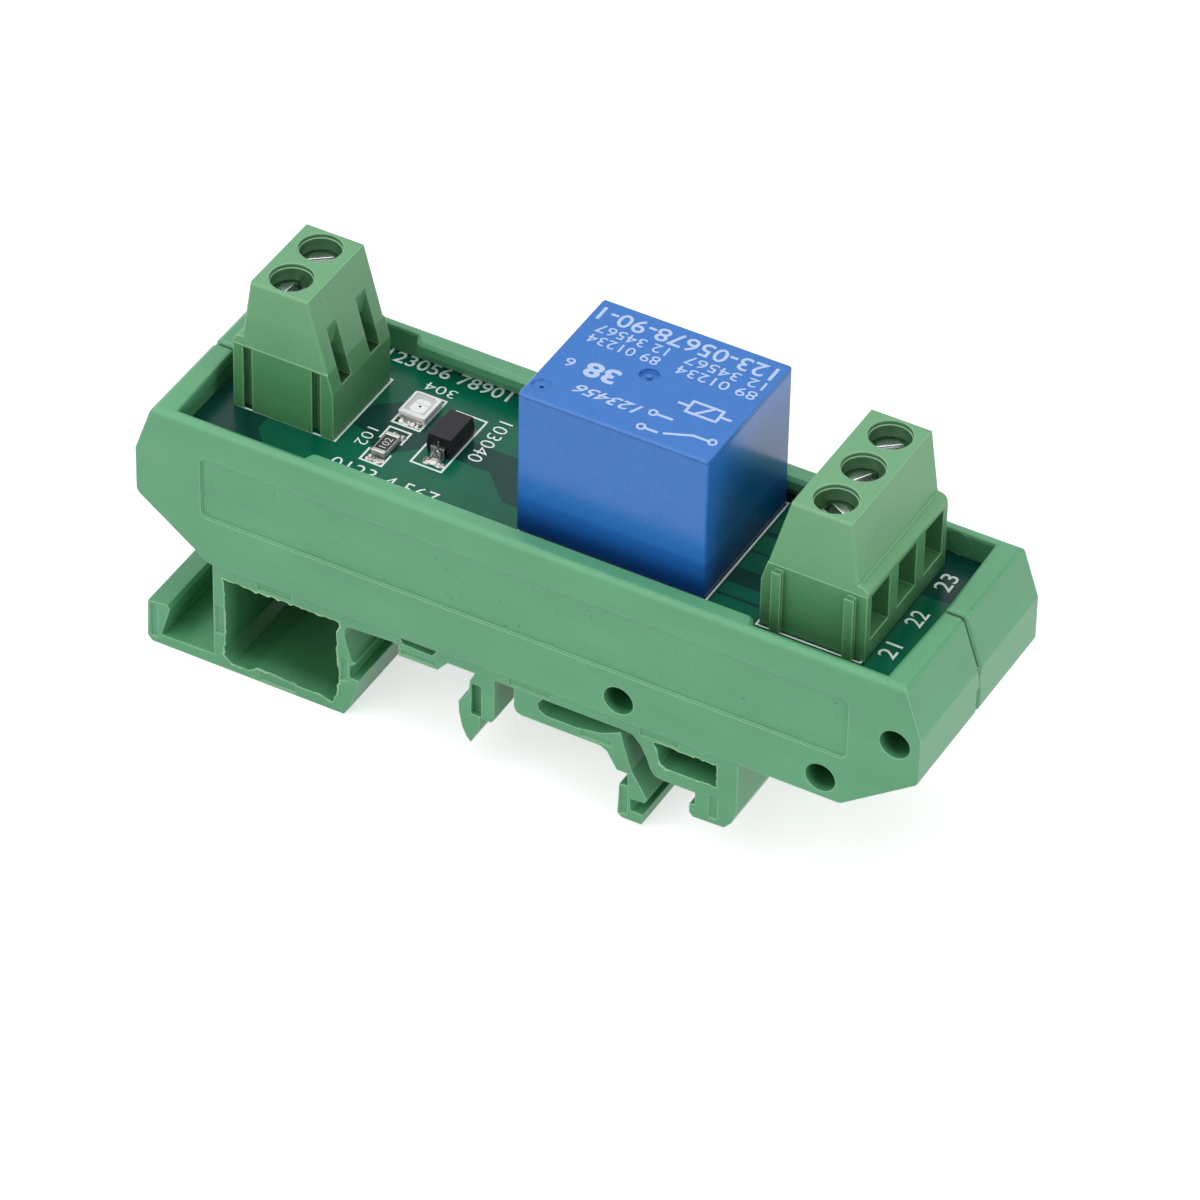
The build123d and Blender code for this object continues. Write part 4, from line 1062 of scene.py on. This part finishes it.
@dataclass
class Studio:
    """The pale floor, the soft lights and the camera at the photograph's angle."""

    azimuth: float = 28.42032
    elevation: float = 40.29614
    roll: float = 1.23493
    distance: float = 0.7017323
    target: Sequence[float] = (0.003351, -0.002566, 0.016778)
    lens: float = 235.53
    sensor: float = 36.0
    clip: float = 0.05
    floor_half: float = 3.0
    floor_gap: float = 0.01 * MM
    floor_glow: float = 0.65
    floor_colour: float = 0.65
    sky: float = 0.23

    def build(self) -> None:
        """Build the studio."""
        self._floor()
        self._world()
        self._lamp("top_light", (-0.05, 0.10, 0.60), side=0.8, watts=2.8)
        self._lamp("front_light", (-0.30, -0.60, 0.42), side=0.8, watts=3.8)
        self._lamp("right_light", (0.7, -0.1, 0.30), side=0.5, watts=1.6)
        self._lamp("low_light", (0.60, -0.30, 0.03), side=0.4, watts=1.0)
        self._camera()
        bpy.context.scene.view_settings.view_transform = "Standard"
        LOG.info("studio ready")

    def _seen(self, recipe: Recipe) -> Wire:
        """Tell what is looked at from what only lights the object.

        Args:
            recipe: The material or world in the making.

        Returns:
            1 for the camera and for mirrored or clear paths, and 0 for other light.
        """
        path = recipe.node("ShaderNodeLightPath")
        seen = path["Is Camera Ray"] + path["Is Glossy Ray"] + path["Is Transmission Ray"]
        return seen.above(0.0, 1.0)

    def _floor(self) -> None:
        """A level floor that shows white and keeps a soft shadow."""
        made = bmesh.new()
        bmesh.ops.create_grid(made, x_segments=1, y_segments=1, size=self.floor_half)
        bmesh.ops.translate(made, verts=made.verts[:], vec=(0, 0, -self.floor_gap))
        mesh = as_mesh(made, "floor")
        recipe = Recipe.named("floor_white")
        cover = recipe.node("ShaderNodeBsdfDiffuse", {}, {"Color": (self.floor_colour,) * 3 + (1.0,)})
        glow = recipe.node("ShaderNodeEmission", {}, {"Strength": self._seen(recipe) * self.floor_glow})
        both = recipe.node("ShaderNodeAddShader", {}, {0: cover[0], 1: glow[0]})
        recipe.node("ShaderNodeOutputMaterial", {}, {"Surface": both[0]})
        mesh.materials.append(recipe.owner)
        placed("floor", mesh)

    def _world(self) -> None:
        """Even pale light from all round, white where it is seen."""
        world = bpy.data.worlds.new("studio_world")
        bpy.context.scene.world = world
        recipe = Recipe(world)
        strength = self.sky + self._seen(recipe) * (1 - self.sky)
        light = recipe.node("ShaderNodeBackground", {}, {"Color": (1, 1, 1, 1), "Strength": strength})
        recipe.node("ShaderNodeOutputWorld", {}, {"Surface": light[0]})

    def _lamp(self, name: str, place: Sequence[float], side: float, watts: float) -> None:
        """A square soft light that faces the object.

        Args:
            name: The lamp's name.
            place: Where it hangs.
            side: The side of the square.
            watts: Its power.
        """
        data = bpy.data.lights.new(name, "AREA")
        data.size = side
        data.energy = watts
        lamp = placed(name, data)
        lamp.location = place
        towards = Vector(self.target) - Vector(place)
        lamp.rotation_euler = towards.to_track_quat("-Z", "Y").to_euler()

    def _camera(self) -> None:
        """The camera, from its angles round the target."""
        a, e, r = (math.radians(v) for v in (self.azimuth, self.elevation, self.roll))
        back = Vector((math.sin(a) * math.cos(e), -math.cos(a) * math.cos(e), math.sin(e)))
        level = Vector((math.cos(a), math.sin(a), 0))
        above = back.cross(level)
        right = level * math.cos(r) + above * math.sin(r)
        up = above * math.cos(r) - level * math.sin(r)
        data = bpy.data.cameras.new("camera")
        data.lens = self.lens
        data.sensor_width = self.sensor
        data.clip_start = self.clip
        camera = placed("camera", data)
        turn = Matrix((right, up, back)).transposed().to_4x4()
        camera.matrix_world = Matrix.Translation(Vector(self.target) + back * self.distance) @ turn
        bpy.context.scene.camera = camera


@dataclass
class Carrier:
    """The two mouldings that hold the board and clip on the rail, with the marks that moulding leaves."""

    setback: float = 0.3 * MM
    wall: float = 1.1 * MM
    flash: float = 0.1 * MM
    flash_step: float = 0.16 * MM
    flash_wobble: float = 0.16 * MM
    mark_radius: float = 1.25 * MM
    mark_width: float = 0.1 * MM
    mark_place: Point = (72.3 * MM, 14.24 * MM)

    def __post_init__(self) -> None:
        """Read where the drawing starts: the left end and the side plate's lower edge, on the near face."""
        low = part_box("carrier_near")[0]
        self.origin = Vector((low.x, low.y + self.setback, drawing_level()))

    def build(self) -> None:
        """Dress both mouldings and add the moulding marks."""
        for node in ("carrier_near", "carrier_far"):
            dress(node, Finishes.carrier)
        beads = [self._bead(outline, 5.3 * i) for i, outline in enumerate(self._openings())]
        # The flash beads take a paler finish: a painted highlight.
        settle("moulding_flash", beads, Finishes.flash)
        settle("ejector_mark", [self._ejector_mark()], Finishes.carrier)

    def _openings(self) -> list[list[Point]]:
        """The foot's openings that flash has crept into.

        Returns:
            Their outlines, in drawing millimetres.
        """
        return [
            [(8.75, -1.5), (8.95, -3.0), (9.0, -8.3), (8.75, -10.6), (9.6, -11.35), (11.4, -11.35),
             (12.4, -10.75), (14.9, -10.75), (16.5, -11.0), (19.0, -11.0), (20.4, -11.3), (20.9, -9.6),
             (21.15, -8.3), (20.95, -5.4), (20.8, -2.6), (21.2, -1.8), (21.1, -1.35)],
            [(53.45, -1.5), (53.8, -1.35), (59.95, -1.35), (59.95, -3.95), (54.8, -4.0), (54.15, -3.75),
             (53.85, -2.5)],
        ]

    def _bead(self, outline: Sequence[Point], seed: float) -> bpy.types.Mesh:
        """An uneven bead of flash along an opening's edge.

        Args:
            outline: The opening's corners in drawing millimetres.
            seed: A number that picks its unevenness.

        Returns:
            The mesh.
        """
        corners = [self.origin + Vector((x, 0, z)) * MM for x, z in outline]
        route = []
        for start, end in zip(corners, corners[1:] + corners[:1]):
            steps = max(1, round((end - start).length / self.flash_step))
            route += [start.lerp(end, step / steps) for step in range(steps)]
        data = closed_curve("3D", route)
        data.bevel_depth = self.flash
        data.bevel_resolution = 1
        for point, place in zip(data.splines[0].points, route):
            wobble = noise.noise(place / (0.45 * MM) + Vector((seed, 0, 0)))
            swell = max(0.0, noise.noise(place / (1.7 * MM) + Vector((0, 0, seed))))
            off = wobble * self.flash_wobble
            point.co = (place.x + off, place.y, place.z - off, 1)
            point.radius = 0.45 + 0.8 * max(0.0, wobble) + 1.5 * swell
        return curve_mesh(data, Matrix.Identity(4))

    def _ejector_mark(self) -> bpy.types.Mesh:
        """The ring that an ejector pin leaves on the far wall, near the three-way block.

        Returns:
            The mesh.
        """
        mesh = Print(0.0, thick=0.03 * MM, sunk=0.01 * MM).ring(0, 0, self.mark_radius, self.mark_width, 36)
        x, z = self.mark_place
        middle = (self.origin.x + x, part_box("carrier_far")[1].y - self.wall, self.origin.z + z)
        mesh.transform(Matrix.Translation(middle) @ Matrix.Rotation(math.radians(90), 4, "X"))
        return mesh


@dataclass
class Board:
    """The circuit board with its copper pours and its white print."""

    stroke: float = 0.2 * MM

    def __post_init__(self) -> None:
        """Read the board's place and its height."""
        self.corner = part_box("carrier_near")[0]
        self.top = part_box("circuit_board")[1].z
        self.marks = Print(self.top)
        self.copper = Print(self.top, thick=0.012 * MM, sunk=0.004 * MM)

    def at(self, x: float, y: float) -> Point:
        """A place on the board, from millimetres counted from the carrier's left end and its near face."""
        return self.corner.x + x * MM, self.corner.y + y * MM

    def build(self) -> None:
        """Dress the board and print it."""
        dress("circuit_board", Finishes.mask)
        dress("solder_cones", Finishes.solder)
        pours = [self.copper.plate([self.at(*p) for p in outline]) for outline in self._pours()]
        settle("board_pours", pours, Finishes.pour)
        lines = [self.marks.line([self.at(*p) for p in points], self.stroke, closed)
                 for points, closed in self._outlines()]
        settle("board_lines", lines, Finishes.silk)
        settle("board_digits", self._digits(), Finishes.silk)

    def solder(self, part: str, drops: Sequence[Drop], first: float, step: float) -> None:
        """Solder a part down.

        Args:
            part: The part's name.
            drops: The drops round it.
            first: The number that picks the first drop's dents.
            step: How much this number grows from drop to drop.
        """
        meshes = [drop.mesh(Vector((*self.at(drop.x, drop.y), self.top)), step * number + first)
                  for number, drop in enumerate(drops)]
        settle(f"{part}_solder", meshes, Finishes.solder)

    def _pours(self) -> list[list[Point]]:
        """The copper areas under the mask.

        Returns:
            Their outlines, in board millimetres.
        """
        return [
            [(13.2, 1.2), (37.2, 1.2), (37.2, 7.4), (33.8, 7.4), (30.8, 10.45), (29.4, 10.4), (24.2, 10.6),
             (22.9, 9.3), (21.9, 8.4), (19.6, 8.4), (18.8, 9.7), (17.2, 10.2), (10.8, 9.0),
             (9.68, 6.96), (9.69, 5.44), (10.98, 4.0)],
            [(4.6, 18.8), (16.0, 18.8), (16.3, 11.6), (17.1, 13.7), (19.0, 15.2), (24.0, 15.2), (25.6, 13.4),
             (31.6, 13.4), (36.0, 13.4), (36.0, 21.2), (4.6, 21.2)],
            [(56.2, 12.9), (61.0, 12.9), (61.0, 15.2), (56.2, 15.2)],
            [(56.2, 15.8), (61.0, 15.8), (61.0, 21.2), (56.2, 21.2)],
            [(56.2, 10.2), (61.0, 10.2), (61.0, 12.6), (56.2, 12.6)],
            [(56.2, 6.45), (61.0, 6.45), (61.0, 8.0), (56.2, 8.0)],
            [(56.2, 1.2), (61.0, 1.2), (61.0, 6.1), (56.2, 6.1)],
            [(72.0, 1.2), (75.6, 1.2), (75.6, 15.0), (72.0, 15.0)],
        ]

    def _outlines(self) -> list[tuple[list[Point], bool]]:
        """The white lines round the parts.

        Returns:
            Each one's corners, in board millimetres, and whether it closes.
        """
        return [
            ([(19.6, 12.3), (22.45, 12.3), (22.45, 17.2), (19.6, 17.2)], True),
            ([(23.9, 8.25), (27.05, 8.25), (27.05, 16.5), (23.9, 16.5)], True),
            ([(19.77, 8.0), (19.77, 6.28), (22.0, 6.28), (22.0, 7.95)], False),
            ([(19.8, 9.86), (19.8, 11.6), (22.0, 11.6), (22.0, 9.82)], False),
            ([(6.3, 7.28), (16.6, 7.28), (16.6, 17.5), (6.3, 17.5)], True),
            ([(37.0, 4.5), (55.95, 4.5), (55.95, 20.15), (37.0, 20.15)], True),
            ([(61.3, 4.1), (71.6, 4.1), (71.6, 19.6), (61.3, 19.6)], True),
        ]

    def _digits(self) -> list[bpy.types.Mesh]:
        """Plain numbers where the board is lettered.

        Returns:
            A mesh for each row.
        """
        rows = [
            ("123056 78901", 14.3, 19.9, 0, 1.6, 12.8, 0.01),
            ("304", 22.7, 18.95, 180, 1.15, 3.1, -0.008),
            ("102", 18.1, 10.6, -90, 1.15, 2.6, -0.008),
            ("103040", 27.95, 17.3, -90, 1.4, 6.2, -0.008),
            ("0123-4 567", 17.7, 3.95, 0, 1.6, 10.9, -0.006),
            ("21", 73.9, 5.85, 90, 1.65, 2.0, 0.004),
            ("22", 73.95, 10.8, 90, 1.65, 2.1, 0.004),
            ("23", 73.95, 16.35, 90, 1.65, 2.3, 0.004),
        ]
        return [self.marks.digits(text, *self.at(x, y), degrees, size * MM, span * MM, weight)
                for text, x, y, degrees, size, span, weight in rows]


@dataclass
class TerminalBlock:
    """A row of clamp terminals: housing, screws, cages and contact bars."""

    side: str
    poles: int

    def build(self) -> None:
        """Dress every piece of the block."""
        dress(f"{self.side}_terminal_housing", Finishes.terminal)
        for pole in range(1, self.poles + 1):
            screw = f"{self.side}_screw_{pole}"
            low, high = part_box(screw)
            centre = ((low.x + high.x) / 2, (low.y + high.y) / 2, high.z)
            dress(screw, TurnedMetal(f"{screw}_plating", centre))
            dress(f"{self.side}_clamp_cage_{pole}", Finishes.cage)
            dress(f"{self.side}_contact_bar_{pole}", Finishes.tin)


@dataclass
class Relay:
    """The relay: its case with a generic contact diagram in pad print, and the works inside."""

    line: float = 0.28 * MM
    line_step: float = 0.005 * MM
    terminal_radius: float = 0.36 * MM
    terminal_line: float = 0.2 * MM
    terminal_thick: float = 0.06 * MM

    def __post_init__(self) -> None:
        """Read the case's place."""
        low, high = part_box("relay_cover")
        self.middle = (low + high) / 2
        self.marks = Print(high.z)

    def at(self, x: float, y: float) -> Point:
        """A place on the top in millimetres from its middle, read from the far side."""
        return self.middle.x - x * MM, self.middle.y - y * MM

    def build(self) -> None:
        """Dress the relay and print its top."""
        looks = {
            "cover": Finishes.relay, "base": Finishes.base, "coil_bobbin": Finishes.former,
            "coil_winding": Finishes.copper, "coil_pins": Finishes.tin,
            "core": Finishes.iron, "yoke": Finishes.iron, "armature": Finishes.iron,
            "moving_contact": Finishes.brass, "upper_contact": Finishes.brass,
            "lower_contact": Finishes.brass,
        }
        for part, finish in looks.items():
            dress(f"relay_{part}", finish)
        settle("relay_digits", self._digits(), Finishes.relay_ink)
        settle("relay_diagram", self._diagram(), Finishes.relay_ink)

    def _digits(self) -> list[bpy.types.Mesh]:
        """Plain numbers in rows.

        Returns:
            A mesh for each row.
        """
        rows = [
            ("123-05678-90-1", -8.8, -6.75, 1.9, 17.6, 0.008, 0.0),
            ("12 34567", -8.8, -4.45, 1.2, 7.9, 0.0, 0.0),
            ("89 01234", -8.8, -2.85, 1.2, 7.9, 0.0, 0.0),
            ("12 34567", 0.9, -4.45, 1.2, 7.1, 0.0, 0.0),
            ("89 01234", 0.9, -2.85, 1.2, 7.1, 0.0, 0.0),
            ("123456", -1.0, 3.9, 1.25, 6.6, 0.012, 0.35),
            ("38", 2.9, 0.6, 2.1, 3.2, 0.03, 0.0),
            ("6", 7.2, 1.1, 1.2, 0.9, 0.0, 0.0),
        ]
        return [self.marks.digits(text, *self.at(x, y), 180, size * MM, span * MM, weight, slant)
                for text, x, y, size, span, weight, slant in rows]

    def _diagram(self) -> list[bpy.types.Mesh]:
        """A changeover contact and its coil as a line drawing.

        Returns:
            A mesh for each stroke and each ring.
        """
        strokes = [
            ([(-8.2, 5.2), (-6.6, 5.2), (-4.3, 6.2)], False),
            ([(-3.6, 6.4), (-2.4, 6.4)], False),
            ([(-3.9, 4.2), (-2.4, 4.2)], False),
            ([(-7.4, 1.0), (-4.4, 1.0), (-4.4, 2.6), (-7.4, 2.6)], True),
            ([(-6.6, 1.0), (-5.2, 2.6)], False),
            ([(-8.4, 1.8), (-7.4, 1.8)], False),
            ([(-4.4, 1.8), (-3.4, 1.8)], False),
        ]
        made = []
        for number, (points, closed) in enumerate(strokes):
            marks = Print(self.marks.height, thick=self.marks.thick + self.line_step * number)
            made.append(marks.line([self.at(*p) for p in points], self.line, closed))
        terminals = Print(self.marks.height, thick=self.terminal_thick)
        for x, y in ((-8.5, 5.2), (-2.1, 6.4), (-2.1, 4.2)):
            made.append(terminals.ring(*self.at(x, y), self.terminal_radius, self.terminal_line))
        return made


@dataclass
class Indicator:
    """The flat white lamp with its window, pads, chip and solder."""

    board: Board
    drops: tuple[Drop, ...] = (
        Drop(21.0, 12.85, 1.25, 0.42, 0.27), Drop(20.3, 12.8, 0.5, 0.4, 0.36),
        Drop(21.95, 12.8, 0.34, 0.36, 0.3), Drop(20.6, 16.75, 0.6, 0.35, 0.3),
        Drop(21.7, 16.75, 0.6, 0.35, 0.28),
    )

    def build(self) -> None:
        """Dress the lamp and add what shows in its window."""
        dress("indicator_body", Finishes.white)
        dress("indicator_lens", Finishes.resin)
        dress("indicator_leads", Finishes.tin)
        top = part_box("indicator_lens")[1].z
        pads = Print(top, thick=0.02 * MM)
        near = [(20.42, 14.92), (20.42, 14.05), (20.6, 13.8), (20.85, 13.74), (21.6, 13.74), (21.85, 13.85),
                (21.93, 14.05), (21.93, 14.92)]
        far = [(20.42, 15.02), (21.93, 15.02), (21.88, 15.4), (21.65, 15.62), (20.75, 15.62), (20.5, 15.42)]
        shapes = [pads.plate([self.board.at(*p) for p in outline]) for outline in (near, far)]
        settle("indicator_pads", shapes, Finishes.pad)
        chip = Print(top, thick=0.05 * MM).ring(*self.board.at(21.19, 14.6), 0.06 * MM, 0.11 * MM, 12)
        settle("indicator_chip", [chip], Finishes.dark)
        self.board.solder("indicator", self.drops, first=0.0, step=3.1)


@dataclass
class ChipResistor:
    """The chip resistor: pale ceramic with a black glaze, digits and solder."""

    board: Board
    inset: float = 0.09 * MM
    drops: tuple[Drop, ...] = (
        Drop(20.45, 6.95, 0.5, 0.5, 0.36), Drop(21.2, 6.85, 0.55, 0.45, 0.22),
        Drop(21.7, 7.0, 0.3, 0.3, 0.16), Drop(20.7, 10.7, 0.5, 0.4, 0.3), Drop(21.6, 10.65, 0.42, 0.42, 0.3),
    )

    def build(self) -> None:
        """Dress the chip, glaze and print it, and solder it."""
        dress("resistor_body", Finishes.ceramic)
        dress("resistor_end_caps", Finishes.tin)
        low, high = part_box("resistor_body")
        left, right = low.x + self.inset, high.x - self.inset
        glaze = Print(high.z, thick=0.03 * MM, sunk=0.01 * MM)
        plate = glaze.plate([(left, low.y), (right, low.y), (right, high.y), (left, high.y)])
        settle("resistor_glaze", [plate], Finishes.glaze)
        marks = Print(high.z + glaze.thick - glaze.sunk, thick=0.012 * MM)
        mesh = marks.digits("102", *self.board.at(21.42, 8.05), 90, size=0.72 * MM, span=1.45 * MM)
        settle("resistor_digits", [mesh], Finishes.chip_ink)
        self.board.solder("resistor", self.drops, first=0.0, step=1.7)


@dataclass
class Diode:
    """The moulded diode with its solder."""

    board: Board
    drops: tuple[Drop, ...] = (
        Drop(25.85, 9.8, 0.62, 0.5, 1.2, 0.7), Drop(25.75, 9.3, 1.1, 0.55, 0.3),
        Drop(25.2, 9.0, 0.55, 0.42, 0.24), Drop(26.4, 9.1, 0.55, 0.42, 0.3),
        Drop(26.2, 14.75, 0.7, 0.5, 0.5), Drop(25.2, 14.75, 0.6, 0.5, 0.4),
    )

    def build(self) -> None:
        """Dress the diode and solder it."""
        dress("diode_body", Finishes.dark)
        dress("diode_leads", Finishes.solder)
        self.board.solder("diode", self.drops, first=1.0, step=2.3)


def main() -> None:
    """Build the sub-assemblies in order."""
    logging.basicConfig(level=logging.INFO, format="%(message)s")
    Studio().build()
    board = Board()
    assemblies = [
        Carrier(), board, TerminalBlock("input", 2), TerminalBlock("output", 3),
        Relay(), Indicator(board), ChipResistor(board), Diode(board),
    ]
    for assembly in assemblies:
        assembly.build()
        LOG.info("finished %s", type(assembly).__name__)


if __name__ == "__main__":
    main()
